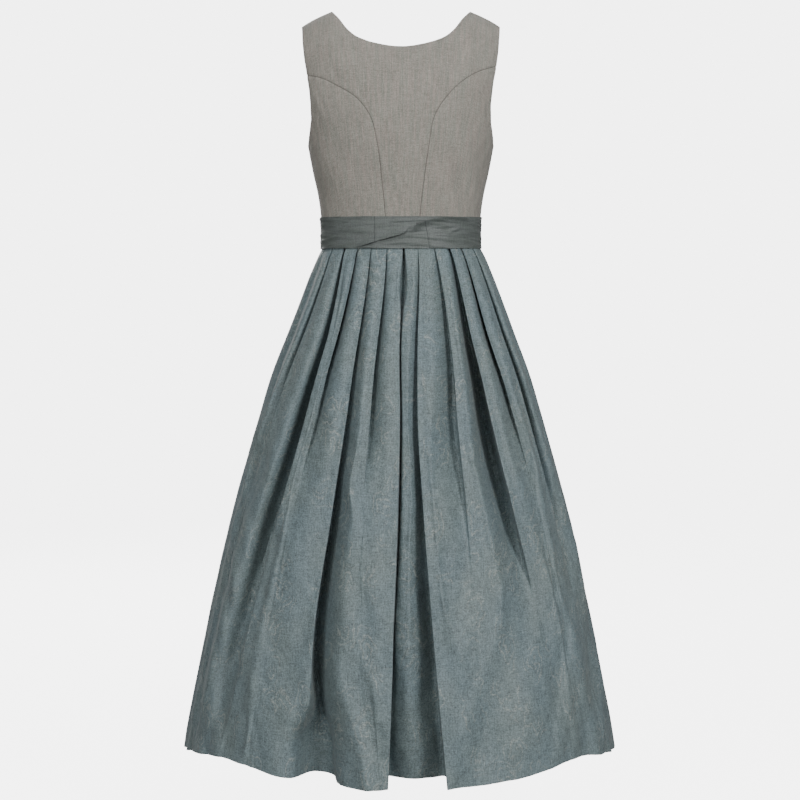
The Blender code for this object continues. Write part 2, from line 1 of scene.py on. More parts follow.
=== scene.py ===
"""The looks of a long sleeveless dirndl, seen from behind: linen bodice, tied sash and
pleated skirt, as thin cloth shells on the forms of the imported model.

Metres, +Z up. The dress's back faces -Y. The origin is midway between the shoulder seams.
"""

import math
from collections import namedtuple

import bpy
import numpy as np
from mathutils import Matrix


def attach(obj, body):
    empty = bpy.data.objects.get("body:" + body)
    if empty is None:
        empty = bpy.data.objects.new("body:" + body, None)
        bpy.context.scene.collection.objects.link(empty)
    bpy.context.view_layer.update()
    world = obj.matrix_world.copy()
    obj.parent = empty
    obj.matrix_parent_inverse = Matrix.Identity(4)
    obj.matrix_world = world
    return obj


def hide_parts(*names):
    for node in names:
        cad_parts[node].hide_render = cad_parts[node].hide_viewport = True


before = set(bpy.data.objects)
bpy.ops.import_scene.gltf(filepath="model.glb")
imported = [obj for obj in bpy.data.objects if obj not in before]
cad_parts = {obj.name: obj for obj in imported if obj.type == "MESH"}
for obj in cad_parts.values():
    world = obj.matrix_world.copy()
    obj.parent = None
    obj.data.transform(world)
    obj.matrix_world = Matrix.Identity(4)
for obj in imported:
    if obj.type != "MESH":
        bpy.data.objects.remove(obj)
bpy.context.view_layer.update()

# Each piece of cloth, the solid that it stands for, its material slot, the rectangle that
# it is cut from, the part of that which shows (square metres) and how it is held
Sheet = namedtuple("Sheet", "node slot flat area held")

SHEETS = {
    "back_centre_cloth": Sheet("bodice_back_centre", "linen", (0.36, 0.42), 0.070, "draped"),
    "back_left_cloth": Sheet("bodice_back_left", "linen", (0.20, 0.30), 0.037, "draped"),
    "back_right_cloth": Sheet("bodice_back_right", "linen", (0.20, 0.30), 0.037, "draped"),
    "front_left_cloth": Sheet("bodice_front_left", "linen", (0.24, 0.42), 0.068, "draped"),
    "front_right_cloth": Sheet("bodice_front_right", "linen", (0.24, 0.42), 0.068, "draped"),
    "sash_left_cloth": Sheet("sash_left", "sash_cloth", (0.34, 0.056), 0.0125, "stretched"),
    "sash_right_cloth": Sheet("sash_right", "sash_cloth", (0.30, 0.056), 0.0115, "stretched"),
    "sash_front_cloth": Sheet("sash_front", "sash_cloth", (0.38, 0.056), 0.0195, "stretched"),
    "skirt_back_cloth": Sheet("skirt_back", "skirt_cloth", (1.40, 0.90), 0.95, "gathered"),
    "skirt_front_cloth": Sheet("skirt_front", "skirt_cloth", (1.40, 0.90), 0.95, "gathered"),
}

# Cloth and seams
CLOTH = 0.0012
SEAM_OVERLAP = 0.00010
SQUARE_EDGE_REACH = 0.0003
SHARP_ANGLE = math.radians(50)
SEAM_DIP = 0.0010
SEAM_DIP_REACH = 0.0018
FAR_FROM_SEAM = 0.02
# A free edge is turned in: it is rolled, and its turning's own edge shows further in
FREE_EDGE_DIP = 0.0006
FREE_EDGE_REACH = 0.0016
FACING_LINE = 0.021
FACING_HEIGHT = 0.00035
FACING_REACH = 0.003
# The front's weave is taken this far from the back's
FRONT_WEAVE_SHIFT = 3.0

# Uneven waves of the cloth, about across by along metres each
Ripple = namedtuple("Ripple", "height across along")

LINEN_RIPPLES = [Ripple(0.0006, 0.09, 0.13), Ripple(0.00025, 0.022, 0.05)]
LINEN_SEED = 11
SASH_RIPPLES = [
    Ripple(0.00040, 0.20, 0.014),
    Ripple(0.00028, 0.09, 0.0065),
    Ripple(0.00040, 0.30, 0.035),
]
SASH_SEEDS = {"sash_left_cloth": 31, "sash_right_cloth": 41, "sash_front_cloth": 51}
SKIRT_RIPPLES = [Ripple(0.0042, 0.16, 0.42), Ripple(0.0024, 0.060, 0.17)]
FINE_RIPPLES = [Ripple(0.0006, 0.020, 0.045)]
CRUMPLES = [Ripple(0.0010, 0.09, 0.022)]
HEM_LINE_RIPPLES = [Ripple(0.4, 0.12, 0.5)]
SKIRT_SEEDS = {"skirt_back_cloth": 61, "skirt_front_cloth": 71}
# The waves die away over these distances from the seams between back and front
LINEN_HOLD = 0.030
LINEN_RELIEF_HOLD = 0.25
SASH_HOLD = 0.004
SKIRT_HOLD = 0.35

# Heights of the main levels
WAIST_SEAM_Z = -0.3800
SASH_TOP_Z = -0.3560
SASH_BOTTOM_Z = -0.4090
SASH_SIDE_RISE = 0.0055
HEM_Z = -1.2640
UNDERARM_Z = -0.2290

# Shoulders: the seam runs from the neck point to the tip and drops towards the tip
NECK_POINT_ANGLE = math.radians(38.4)
SHOULDER_TIP_ANGLE = math.radians(63.7)
SHOULDER_DROP = 0.0260
BACK_ROUNDING = 0.070
FRONT_ROUNDING = 0.085

# Bust: two soft cups that the front's cut and darts give
CUP_X = 0.082
CUP_Z = -0.238
CUP_WIDTH = 0.050
CUP_HEIGHT = 0.056
CUP_DEPTH = 0.016
DART_ANGLE = math.radians(33)
DART_TOP_Z = -0.262
DART_FADE = 0.03
DART_DIP = 0.0010
DART_DIP_REACH = 0.0018
DART_SWELL = 0.0006
DART_SWELL_REACH = 0.009

# Body sections
Section = namedtuple("Section", "z half_width back_depth front_depth")

TORSO = [
    Section(0.000, 0.1900, 0.060, 0.058),
    Section(-0.050, 0.1875, 0.074, 0.072),
    Section(-0.100, 0.1810, 0.089, 0.088),
    Section(-0.150, 0.1740, 0.099, 0.100),
    Section(-0.200, 0.1648, 0.104, 0.110),
    Section(-0.229, 0.1592, 0.104, 0.113),
    Section(-0.275, 0.1505, 0.100, 0.109),
    Section(-0.316, 0.1415, 0.096, 0.102),
    Section(-0.354, 0.1367, 0.094, 0.100),
    Section(-0.420, 0.1365, 0.094, 0.100),
]

SKIRT = [
    Section(-0.3803, 0.1365, 0.094, 0.100),
    Section(-0.4100, 0.1367, 0.094, 0.100),
    Section(-0.4160, 0.1400, 0.098, 0.104),
    Section(-0.4436, 0.1515, 0.109, 0.115),
    Section(-0.4780, 0.1648, 0.121, 0.126),
    Section(-0.5470, 0.1915, 0.144, 0.148),
    Section(-0.6160, 0.2184, 0.166, 0.168),
    Section(-0.6840, 0.2390, 0.183, 0.184),
    Section(-0.7530, 0.2589, 0.200, 0.200),
    Section(-0.8220, 0.2778, 0.216, 0.215),
    Section(-0.9600, 0.3104, 0.243, 0.241),
    Section(-1.0970, 0.3380, 0.266, 0.262),
    Section(-1.2350, 0.3646, 0.287, 0.281),
    Section(-1.2640, 0.3690, 0.290, 0.284),
]

# The skirt hangs a little to one side below the waist
Shift = namedtuple("Shift", "z x")

SKIRT_SHIFTS = [
    Shift(-0.380, 0.0),
    Shift(-0.400, 0.0004),
    Shift(-0.440, 0.0022),
    Shift(-0.600, 0.0020),
    Shift(-0.800, 0.0010),
    Shift(-1.100, 0.0),
    Shift(-1.264, 0.0),
]

# The hem lies a little higher between the middle of the back or front and the sides
HemRise = namedtuple("HemRise", "angle rise")

HEM_RISES = [
    HemRise(0.0, 0.000),
    HemRise(18.0, 0.001),
    HemRise(30.0, 0.009),
    HemRise(50.0, 0.024),
    HemRise(66.0, 0.018),
    HemRise(79.0, 0.009),
    HemRise(90.0, 0.006),
    HemRise(101.0, 0.009),
]
HEM_RISE_POWER = 3

# Rows of the skirt, closer together near the waist, and the part pressed under the sash
SKIRT_TOP_Z = -0.3803
SKIRT_LEVEL_Z = -0.4100
SKIRT_ROWS = 130
EVEN_ROWS_SHARE = 0.55
ROWS_POWER = 1.7
PRESSED_SHARE = 0.4
TILT_SHARE = 0.25

# Heights at which each fold's angles, depths and laps are given
FOLD_LEVELS = (-0.410, -0.550, -0.690, -0.820, -1.030, -1.264)
# Half the width of a fold at those heights, in metres
FOLD_HALF_WIDTHS = (0.0028, 0.0085, 0.0140, 0.0200, 0.0280, 0.0340)
NONE = (0, 0, 0, 0, 0, 0)

# A fold runs down the skirt at these angles from the middle (degrees, + towards +X), as
# deep as depths says (mm). laps is how far the cloth on its left laps over it (mm), or,
# where negative, the cloth on its right. wide widens or narrows its soft side. floor is 1
# where its bottom is flat and wide, 0 where it is a narrow valley. panel is how far the
# cloth between this fold and the next stands back (mm). openings is how far the fold
# gapes between two sharp edges (mm), and gape how much further it does so just below the
# waist. step is 1 where the cloth below comes forward at the hem in a sharp step.
Fold = namedtuple("Fold", "angles depths laps wide floor panel openings gape step",
                  defaults=(1.0, 0, NONE, NONE, 0, 0))

BACK_FOLDS = [
    Fold((-70, -72, -76, -78, -80, -80), (8, 12, 4, 0, 0, 0), (-3, -3, 0, 0, 0, 0)),
    Fold((-56, -57, -62, -66, -70, -72), (14, 28, 18, 4, 0, 0), (-5, -7, -4, 0, 0, 0), 1.1),
    Fold((-42, -37.9, -40.2, -43.3, -48.8, -54), (18, 46, 68, 70, 44, 4),
         (-5, -9, -9, -8, -5, 0), 1.35, 0.55),
    Fold((-33.3, -34.2, -36, -38, -40, -41), (16, 30, 18, 4, 0, 0), (4, 7, 4, 0, 0, 0), 0.9),
    Fold((-22.5, -22.4, -22.6, -23.7, -25.8, -22.6), (6, 22, 36, 50, 72, 88),
         (4, 6, 6, 7, 8, 5), 0.9, step=1),
    Fold((-11, -12.6, -12.9, -12.5, -11, -5.5), (6, 26, 26, 5, 0, 0), (4, 7, 5, 0, 0, 0), 0.9),
    Fold((1.5, -0.8, -0.4, -0.6, -2.0, -3.7), (16, 28, 30, 40, 64, 88), (0, -4, -4, 0, 6, 8),
         0.35, panel=(0, 2, 6, 12, 34, 74), openings=(2.2, 2.4, 2.6, 3.4, 1.0, 0), gape=8.5),
    Fold((12.3, 8.1, 6.6, 7.5, 9.5, 11.8), (6, 18, 30, 46, 70, 90), (-3, -4, -5, -6, -7, -8),
         0.7),
    Fold((24.9, 24.7, 22.4, 21.8, 21.5, 21.5), (5, 26, 38, 24, 4, 0), (-4, -7, -5, -2, 0, 0),
         1.6, 0.3),
    Fold((37.7, 37.0, 38.1, 40, 43.5, 46), (12, 48, 78, 66, 12, 0), (-4, -9, -9, -5, 0, 0),
         1.6, 0.7),
    Fold((49, 48.2, 50.5, 52, 54, 55), (16, 32, 18, 2, 0, 0), (-4, -7, -3, 0, 0, 0), 0.9),
    Fold((60.5, 58.8, 60.5, 62.5, 65, 67), (16, 42, 50, 28, 4, 0), (4, 6, 6, 4, 0, 0),
         0.9, 0.5),
    Fold((74, 74, 77, 79, 80, 80), (7, 10, 4, 0, 0, 0), (3, 3, 0, 0, 0, 0)),
]

FRONT_FOLDS = [
    Fold((-73, -74, -76, -78, -80, -80), (8, 12, 5, 0, 0, 0), (-3, -4, 0, 0, 0, 0)),
    Fold((-61, -60, -62, -64, -66, -68), (8, 22, 26, 18, 7, 0), (-4, -7, -6, -3, 0, 0)),
    Fold((-50, -50, -52, -53, -54, -55), (8, 20, 11, 2, 0, 0), (-4, -6, -3, 0, 0, 0)),
    Fold((-39, -38, -39, -41, -43, -45), (8, 28, 38, 43, 46, 50), (-4, -8, -8, -7, -6, -4), 1.2),
    Fold((-28, -28, -29, -30, -31, -32), (8, 22, 13, 2, 0, 0), (4, 6, 3, 0, 0, 0)),
    Fold((-17, -16, -16, -17, -18, -19), (8, 22, 30, 36, 50, 62), (4, 6, 6, 6, 6, 5), 1.1),
    Fold((-6, -6, -6.5, -7, -7, -7), (8, 20, 13, 3, 0, 0), (4, 6, 3, 0, 0, 0)),
    Fold((5.5, 5, 4, 3.5, 3, 3), (9, 22, 30, 42, 60, 74), (0, -4, -5, -6, -6, -5), 0.9),
    Fold((16.5, 17, 16, 16, 16, 16), (8, 20, 14, 3, 0, 0), (-4, -6, -3, 0, 0, 0)),
    Fold((27.5, 27, 26.5, 27, 28, 29), (8, 26, 36, 44, 54, 60), (-4, -8, -8, -6, -6, -5), 1.1),
    Fold((38.5, 39, 40, 41, 42, 43), (8, 20, 12, 3, 0, 0), (-4, -6, -3, 0, 0, 0)),
    Fold((49.5, 49, 49, 50, 52, 54), (8, 26, 32, 27, 15, 7), (4, 8, 7, 4, 0, 0), 1.1),
    Fold((60.5, 61, 62, 63, 65, 66), (8, 18, 11, 2, 0, 0), (4, 5, 3, 0, 0, 0)),
    Fold((73, 73, 75, 77, 80, 80), (7, 13, 9, 2, 0, 0), (3, 4, 2, 0, 0, 0)),
]

# A fold at one height, in metres and radians
FoldHere = namedtuple("FoldHere", "angle depth lap width panel opening step")

# A fold's crisp side and soft side, as shares of its half width
CRISP_SIDE = 0.55
SOFT_SIDE = 1.75
LEAST_SIDE = 0.15
STEP_SIDE = 0.60
STEP_FLOOR = 0.8
FULL_LAP = 0.0040
FULL_DEPTH = 0.010
FULL_OPENING = 0.0012
# A fold's top edge stands out by this much at its highest, and by shares of it beside it
EDGE_RAISE = 0.0008
EDGE_SHARE = 0.8
LIP_SHARE = 0.6
LIP_PLACE = 0.45
# How deep the wall under the edge is near its top and near its foot, as shares
WALL_TOP = 0.14
WALL_FOOT = 0.74
# Places on the soft side, as shares of it with a narrow bottom, how much further out they
# lie with a wide one, and how deep they are
SoftPlace = namedtuple("SoftPlace", "share wider depth")
SOFT_PLACES = [SoftPlace(0.06, 0.34, 1.0), SoftPlace(0.30, 0.34, 0.70), SoftPlace(0.62, 0.20, 0.28)]
# The cloth between two folds takes up at most this share and bulges by its crown
MOST_PANEL_SHARE = 0.86
PANEL_CROWN = 0.0034
SIDE_CROWN = 0.0014
CROWN_START_Z = -0.405
CROWN_REACH = 0.060
FULL_CROWN_WIDTH = 0.008
CROWN_PLACES = (0.3, 0.7)
LAST_PANEL_PLACES = (0.35, 0.7)
GAPE_Z = -0.470
GAPE_REACH = 0.040
STEP_START_Z = -1.08
STEP_REACH = 0.14
# From this share of its step on, such a fold's left side turns soft
SOFT_FROM = 0.3
# Folds go back away from the camera rather than to the middle, more so near the middle
DEEPEST_LEAN = 0.85
LEAN_START = math.radians(58)
LEAN_REACH = math.radians(24)
PLEAT_SAMPLES = 2
# The turned hem is pressed flat, so its inner edge shows as a soft line
HEM_LINE = 0.070
HEM_LINE_DIP = 0.0009
HEM_LINE_REACH = 0.0022
HEM_LINE_EVEN = 0.6
CRUMPLE_Z = -1.175
CRUMPLE_REACH = 0.05
FINE_RIPPLES_GROWTH = 3

# Cut lines of the bodice, seen straight from behind or from the front, as (x, z).
# The right half of a line that both sides share is mirrored.
BACK_NECKLINE = [(0.118, 0.0), (0.1044, -0.0174), (0.0889, -0.0400), (0.0753, -0.0523),
                 (0.0603, -0.0598), (0.0398, -0.0667), (0.0189, -0.0709), (0.0, -0.0726)]
# The armholes go on from the shoulder tip.
BACK_ARMHOLE = [(0.1675, -0.050), (0.1635, -0.085), (0.1585, -0.115), (0.155, -0.142),
                (0.1530, -0.169), (0.1535, -0.196), (0.1570, -0.217)]
FRONT_NECKLINE = [(0.118, 0.0), (0.113, -0.040), (0.103, -0.080), (0.084, -0.115),
                  (0.056, -0.137), (0.028, -0.147), (0.0, -0.150)]
FRONT_ARMHOLE = [(0.160, -0.060), (0.1500, -0.100), (0.1455, -0.140), (0.1470, -0.180),
                 (0.1520, -0.207), (0.1568, -0.2225)]
LEFT_BACK_SEAM = [(-0.1330, -0.1225), (-0.1090, -0.1357), (-0.0728, -0.1601),
                  (-0.0501, -0.1923), (-0.0401, -0.2307), (-0.0318, -0.2959),
                  (-0.0235, -0.3800)]
RIGHT_BACK_SEAM = [(0.1432, -0.1056), (0.1242, -0.1147), (0.0803, -0.1518),
                   (0.0551, -0.1923), (0.0476, -0.2340), (0.0384, -0.2959),
                   (0.0290, -0.3800)]
LEFT_SEAM_START_Z = -0.1149
RIGHT_SEAM_START_Z = -0.0997
# The armhole's own points keep at least this far above or below that place
JUNCTION_CLEARANCE = 0.012

# Line along which the sash's two ends cross at the back, as (x, z)
CROSSING = [(-0.0785, -0.4080), (-0.0434, -0.3962), (-0.0017, -0.3845), (0.0267, -0.3711),
            (0.0484, -0.3628), (0.0802, -0.3578), (0.1170, -0.3566)]
# The end on top changes over here
CROSSING_SWAP_X = 0.0134
CROSSING_SWAP_REACH = 0.012
CROSSING_END_REACH = 0.020
CROSSING_LEAST_HEIGHT = 0.0012
# The end on top stands out along the crossing and goes over the other, whose own edge goes on a
# little way beneath it and lies in its shade, painted on it as a darker colour
CROSSING_RAISE = 0.0042
CROSSING_RAISE_REACH = 0.008
CROSSING_OVERHANG = 0.0016
CROSSING_EDGE = 0.0016
CROSSING_EDGE_REACH = 0.0025
CROSSING_UNDERLAP = 0.0060
CROSSING_SINK_REACH = 0.010
CROSSING_SHADE = 0.14
# The ends twist round each other most near this x, where they stand out more and the painted shadow
# goes further than elsewhere: shares away from the twist and at it
TWIST_X = 0.020
TWIST_REACH = 0.022
TWIST_RAISE = (0.7, 1.3)
TWIST_SHADE = (2.2, 0.8)
SASH_CLEARANCE = 0.0008
SASH_DEEPEST = 0.0007
# The bodice is tucked in under the sash
UNDER_SASH_TUCK = 0.0024
TUCK_REACH = 0.006

# The sash's ends are sewn on at these places, as fine upright seams
SashJoint = namedtuple("SashJoint", "piece x lean")
SASH_JOINTS = [SashJoint("sash_left_cloth", -0.0443, 0.0),
               SashJoint("sash_right_cloth", 0.0390, -0.17)]
JOINT_DIP = 0.0006
JOINT_REACH = 0.0013
# A crease in the lower end, from one (x, z) point to the other: a ridge above a valley
CREASED_PIECE = "sash_right_cloth"
SASH_CREASE = ((0.081, -0.384), (0.104, -0.374))
CREASE_HEIGHT = 0.0009
CREASE_FADE = 1.2
Rib = namedtuple("Rib", "place reach")
CREASE_RIDGE = Rib(0.003, 0.003)
CREASE_VALLEY = Rib(-0.001, 0.002)

# How an end of the sash lies where the two cross: on top or beneath, and how twisted
Crossed = namedtuple("Crossed", "on_top beneath twist")

# Columns and rows of the shells
SASH_ROWS = 34
SASH_SIDE_COLUMNS = 90
SASH_FRONT_COLUMNS = 240
CROSSING_COLUMNS = 170
SHOULDER_COLUMNS = 14
NECK_COLUMNS = 84
SEAM_ROWS = 84
UPPER_ROWS = 36
SIDE_COLUMNS = 44
FRONT_COLUMNS = 60
FRONT_SIDE_ROWS = 40
BETWEEN_ROWS = 20
NECK_ROWS = 56
FINE_POINTS = 300
TORSO_REACH = 0.17

# The camera stands behind the dress, level with its waist, and looks slightly down
CAMERA_PLACE = (-0.0015, -2.874, -0.578)
CAMERA_TILT = math.radians(-1.71)
LENS_MM = 75.15
SENSOR_MM = 36.0
CAMERA_REACH = 60.0

# Floor and wall
FLOOR_Z = -1.42
FLOOR_GLOW = 5.0
FLOOR_ROUGHNESS = 0.9
WALL_DISTANCE = 9.0
WALL_CURVE = 3.0
WALL_CURVE_STEPS = 10
WALL_HEIGHT = 8.0
WALL_SIDES = 96
PALE = (0.80, 0.80, 0.80)
WHITE = (1.0, 1.0, 1.0)

# Soft lights
SKY_LIGHT = 0.16
Light = namedtuple("Light", "name place target size power")
LIGHTS = [
    Light("key", (2.2, -3.5, 0.7), (0.0, 0.0, -0.75), 1.2, 112.0),
    Light("front", (-1.9, -3.8, 0.1), (0.0, 0.0, -0.65), 1.6, 68.0),
    Light("top", (0.0, -1.6, 1.9), (0.0, 0.0, -0.08), 1.0, 22.0),
    Light("rim_light", (-1.6, 3.2, 1.5), (0.0, 0.0, -0.55), 1.6, 110.0),
]

# Cloth colours
LINEN_GREEN = (0.236, 0.234, 0.203)
LINEN_PINK = (0.280, 0.252, 0.222)
SKIRT_BLUE = (0.137, 0.183, 0.197)
SKIRT_GREEN = (0.149, 0.190, 0.192)
SKIRT_PALE = (0.300, 0.325, 0.300)
SASH_GREEN = (0.092, 0.108, 0.100)
SASH_GREY = (0.108, 0.122, 0.118)

# Unevenness of the yarns, as so many changes to a metre across and up the cloth
Yarn = namedtuple("Yarn", "across up detail roughness", defaults=(2.0, 0.5))
# How much a yarn lightens or darkens the cloth, between two levels of its unevenness
Tone = namedtuple("Tone", "yarn low high start end")
# A soft change between two levels of a yarn's unevenness
Span = namedtuple("Span", "start end")
EVEN = Span(0.3, 0.7)

LINEN_YARNS = {
    "warp": Yarn(700, 34, 3.0),
    "weft": Yarn(60, 560),
    "slubs": Yarn(420, 26, 1.0),
    "threads": Yarn(520, 520, 2.0, 0.6),
    "tints": Yarn(210, 14, 3.0, 0.6),
    "mottle": Yarn(190, 150, 3.0, 0.65),
    "clouds": Yarn(26, 20, 3.0),
}
LINEN_TONES = [
    Tone("warp", -0.13, 0.13, 0.28, 0.72),
    Tone("weft", -0.08, 0.08, 0.30, 0.70),
    Tone("threads", -0.20, 0.20, 0.28, 0.72),
    Tone("mottle", -0.08, 0.08, 0.30, 0.70),
    Tone("slubs", 0.0, 0.12, 0.60, 0.78),
    Tone("clouds", -0.05, 0.05, 0.30, 0.70),
]
LINEN_TINTS = Span(0.36, 0.64)

SKIRT_YARNS = {
    "warp": Yarn(560, 70, 3.0),
    "weft": Yarn(80, 520),
    "grain": Yarn(430, 430, 3.0, 0.65),
    "mottle": Yarn(70, 60, 3.0, 0.6),
    "patches": Yarn(26, 20),
    "clouds": Yarn(14, 9, 3.0),
    "crumple": Yarn(60, 42, 4.0, 0.6),
}
SKIRT_TONES = [
    Tone("warp", -0.15, 0.15, 0.28, 0.72),
    Tone("weft", -0.12, 0.12, 0.28, 0.72),
    Tone("grain", -0.30, 0.30, 0.28, 0.72),
    Tone("mottle", -0.07, 0.07, 0.30, 0.70),
]

SASH_YARNS = {
    "along": Yarn(30, 640, 3.0),
    "across": Yarn(560, 50),
    "grain": Yarn(430, 430, 3.0, 0.65),
    "clouds": Yarn(30, 60),
}
SASH_TONES = [
    Tone("along", -0.12, 0.12, 0.28, 0.72),
    Tone("across", -0.10, 0.10, 0.30, 0.70),
    Tone("grain", -0.18, 0.18, 0.28, 0.72),
]

# Painted shade: cloth by a seam, or beneath a crossing end of the sash, is painted darker: its
# tone, and the distances between which it fades
PaintedShade = namedtuple("PaintedShade", "tone start end")
LINEN_PAINTED_SHADE = PaintedShade(0.42, 0.0002, 0.0013)
SASH_PAINTED_SHADE = PaintedShade(0.34, 0.0001, 0.0012)

# How the cloths take the light. roughness goes from one value to the other.
Finish = namedtuple("Finish", "roughness specular sheen sheen_roughness")
LINEN_FINISH = Finish((0.82, 0.93), 0.20, 0.22, 0.6)
SKIRT_FINISH = Finish((0.58, 0.44), 0.35, 0.12, 0.45)
SASH_FINISH = Finish((0.44, 0.56), 0.40, 0.10, 0.4)

# Raised threads, scrolls and soft crumples
Raised = namedtuple("Raised", "height strength")
LINEN_THREADS = Raised(0.0006, 0.7)
SKIRT_THREADS = Raised(0.0006, 0.6)
SKIRT_SCROLLS = Raised(0.0005, 0.4)
SKIRT_CRUMPLE = Raised(0.0035, 0.30)
SASH_THREADS = Raised(0.0010, 0.5)
UPRIGHT_SHARE = 0.5
CROSSWISE_SHARE = 0.4

# The scrolls are curled lines, one to a cell of an uneven grid, in patches of the cloth
SCROLL_SIZE = 0.050
SCROLL_HEIGHT_SHARE = 0.72
SCROLL_TURNS = 17.0
SCROLL_BEND = 0.75
SCROLL_BEND_SCALE = 2.1
SCROLL_LINE = Span(0.05, 0.75)
SCROLL_REACH = Span(0.36, 0.58)
SCROLL_PATCHES = Span(0.42, 0.60)
SCROLL_WORN = 0.25
SCROLL_WORN_SPAN = Span(0.35, 0.6)
SCROLL_STRENGTH = 0.55


def smooth(at, xs, ys):
    """The smooth curve through the points (xs, ys), xs rising, read at the places at."""
    xs = np.asarray(xs, float)
    ys = np.asarray(ys, float)
    at = np.clip(np.asarray(at, float), xs[0], xs[-1])
    slopes = np.gradient(ys, xs)
    i = np.clip(np.searchsorted(xs, at, side="right") - 1, 0, len(xs) - 2)
    step = xs[i + 1] - xs[i]
    t = (at - xs[i]) / step
    return (
        (2 * t**3 - 3 * t**2 + 1) * ys[i]
        + (t**3 - 2 * t**2 + t) * step * slopes[i]
        + (3 * t**2 - 2 * t**3) * ys[i + 1]
        + (t**3 - t**2) * step * slopes[i + 1]
    )


def smooth_step(x):
    x = np.clip(x, 0.0, 1.0)
    return x * x * (3 - 2 * x)


def bell(distance, reach):
    """1 where the distance is nil, dying away over the reach."""
    return np.exp(-((distance / reach) ** 2))


def blend(share, first, second):
    """The first where share is 0, the second where it is 1."""
    return (1 - share) * first + share * second


def read(table, key, value, at):
    """A column of a table, read at places of its key column."""
    rows = sorted(table, key=lambda row: getattr(row, key))
    return smooth(at, [getattr(row, key) for row in rows], [getattr(row, value) for row in rows])


def section(table, z):
    """Half width, back depth and front depth of a table of sections at the height z."""
    sides = ("half_width", "back_depth", "front_depth")
    return [float(read(table, "z", side, z)) for side in sides]


def ripple(u, v, seed, long_u, long_v, waves=9):
    """A smooth uneven field between about -1 and 1, whose waves are about long_u by
    long_v metres."""
    random = np.random.default_rng(seed)
    total = np.zeros(np.broadcast(u, v).shape)
    for _ in range(waves):
        along, across = random.uniform(0.45, 1.35, 2)
        sign = random.choice((-1.0, 1.0))
        phase = random.uniform(0, 2 * math.pi)
        total += np.sin(2 * math.pi * (along * u / long_u + sign * across * v / long_v) + phase)
    return total / math.sqrt(waves)


def uneven(ripples, u, v, seed):
    """The sum of some ripples, each with a seed of its own."""
    return sum(
        row.height * ripple(u, v, seed + k, row.across, row.along)
        for k, row in enumerate(ripples)
    )


def even_points(points, count):
    """count points evenly spaced along the smooth curve through the given (x, z) points."""
    points = np.asarray(points, float)
    steps = np.linalg.norm(np.diff(points, axis=0), axis=1)
    along = np.concatenate([[0.0], np.cumsum(steps)])
    at = np.linspace(0.0, along[-1], count)
    return np.column_stack([smooth(at, along, points[:, k]) for k in (0, 1)])


def mirrored(points):
    return [(-x, z) for x, z in points]


# The bodice is laid out on the body as an angle round it (0 in the middle of the back
# or front, 90 degrees at the side seam) and a run down it from the shoulder seam.


def seam_height(angle):
    """Height of the shoulder seam's ridge above this angle."""
    share = (abs(angle) - NECK_POINT_ANGLE) / (SHOULDER_TIP_ANGLE - NECK_POINT_ANGLE)
    return -SHOULDER_DROP * min(max(share, 0.0), 1.0)


def laid(x, z, rounding):
    """The (angle, run) of the body's point seen at (x, z)."""
    half_width = section(TORSO, z)[0]
    angle = math.asin(max(-1.0, min(1.0, x / half_width)))
    drop = max(seam_height(angle) - z, 0.0)
    if drop < rounding:
        return angle, rounding * math.acos(1.0 - drop / rounding)
    return angle, rounding * math.pi / 2 + drop - rounding


def cup(x, z):
    """How far the front stands out over the bust."""
    across = (abs(x) - CUP_X) / CUP_WIDTH
    down = (z - CUP_Z) / CUP_HEIGHT
    return CUP_DEPTH * math.exp(-(across**2) - down**2)


def on_body(angle, run, front):
    """The point of the body's surface at this angle and run."""
    rounding = FRONT_ROUNDING if front else BACK_ROUNDING
    turn = min(run / rounding, math.pi / 2)
    z = seam_height(angle) - rounding * (1 - math.cos(turn))
    z -= max(run - rounding * math.pi / 2, 0.0)
    half_width, back, forward = section(TORSO, z)
    x = half_width * math.sin(angle)
    depth = (forward if front else back) * math.cos(angle) * math.sin(turn)
    if front:
        facing = math.sqrt(max(math.cos(angle), 0.0))
        return (x, depth + cup(x, z) * math.sin(turn) * facing, z)
    return (x, -depth, z)


def patch(bottom, top, left, right):
    """Rows of points that fill four edges, each a run of (angle, run) pairs."""
    bottom, top, left, right = (np.asarray(edge, float) for edge in (bottom, top, left, right))
    v = np.linspace(0, 1, len(left))[:, None, None]
    u = np.linspace(0, 1, len(bottom))[None, :, None]
    corners = (
        (1 - u) * (1 - v) * bottom[0] + u * (1 - v) * bottom[-1]
        + (1 - u) * v * top[0] + u * v * top[-1]
    )
    return (1 - v) * bottom + v * top + (1 - u) * left[:, None] + u * right[:, None] - corners


def hung(top, left, right, level_rows=0):
    """Rows between two side edges, whose columns keep their share of the width from the
    top edge down. Only above the first level_rows does the top's shape bend the rows."""
    top, left, right = (np.asarray(edge, float) for edge in (top, left, right))
    shares = (top[:, 0] - top[0, 0]) / (top[-1, 0] - top[0, 0])
    straight_top = (1 - shares) * top[0, 1] + shares * top[-1, 1]
    bends = top[:, 1] - straight_top
    runs = (left[:, 1] + right[:, 1]) / 2
    progress = (runs[level_rows] - runs) / (runs[level_rows] - runs[-1])
    rows = []
    for start, end, weight in zip(left, right, np.maximum(progress, 0.0)):
        angles = start[0] + shares * (end[0] - start[0])
        heights = (1 - shares) * start[1] + shares * end[1] + bends * weight
        rows.append(np.column_stack([angles, heights]))
    return np.array(rows)


def let_out_edges(grid):
    """A grid of points with its four edges let out a little, so that seams are closed."""
    grid = np.asarray(grid, float).copy()

    def let_out(edge, inner):
        step = edge - inner
        edge += SEAM_OVERLAP * step / np.linalg.norm(step, axis=1)[:, None]

    let_out(grid[:, 0], grid[:, 1].copy())
    let_out(grid[:, -1], grid[:, -2].copy())
    let_out(grid[0], grid[1].copy())
    let_out(grid[-1], grid[-2].copy())
    return grid


def grid_normals(grid):
    """The outward unit normal at each point of a grid."""
    across = np.gradient(grid, axis=1)
    up = np.gradient(grid, axis=0)
    normals = np.cross(across, up)
    return normals / np.linalg.norm(normals, axis=2)[:, :, None]


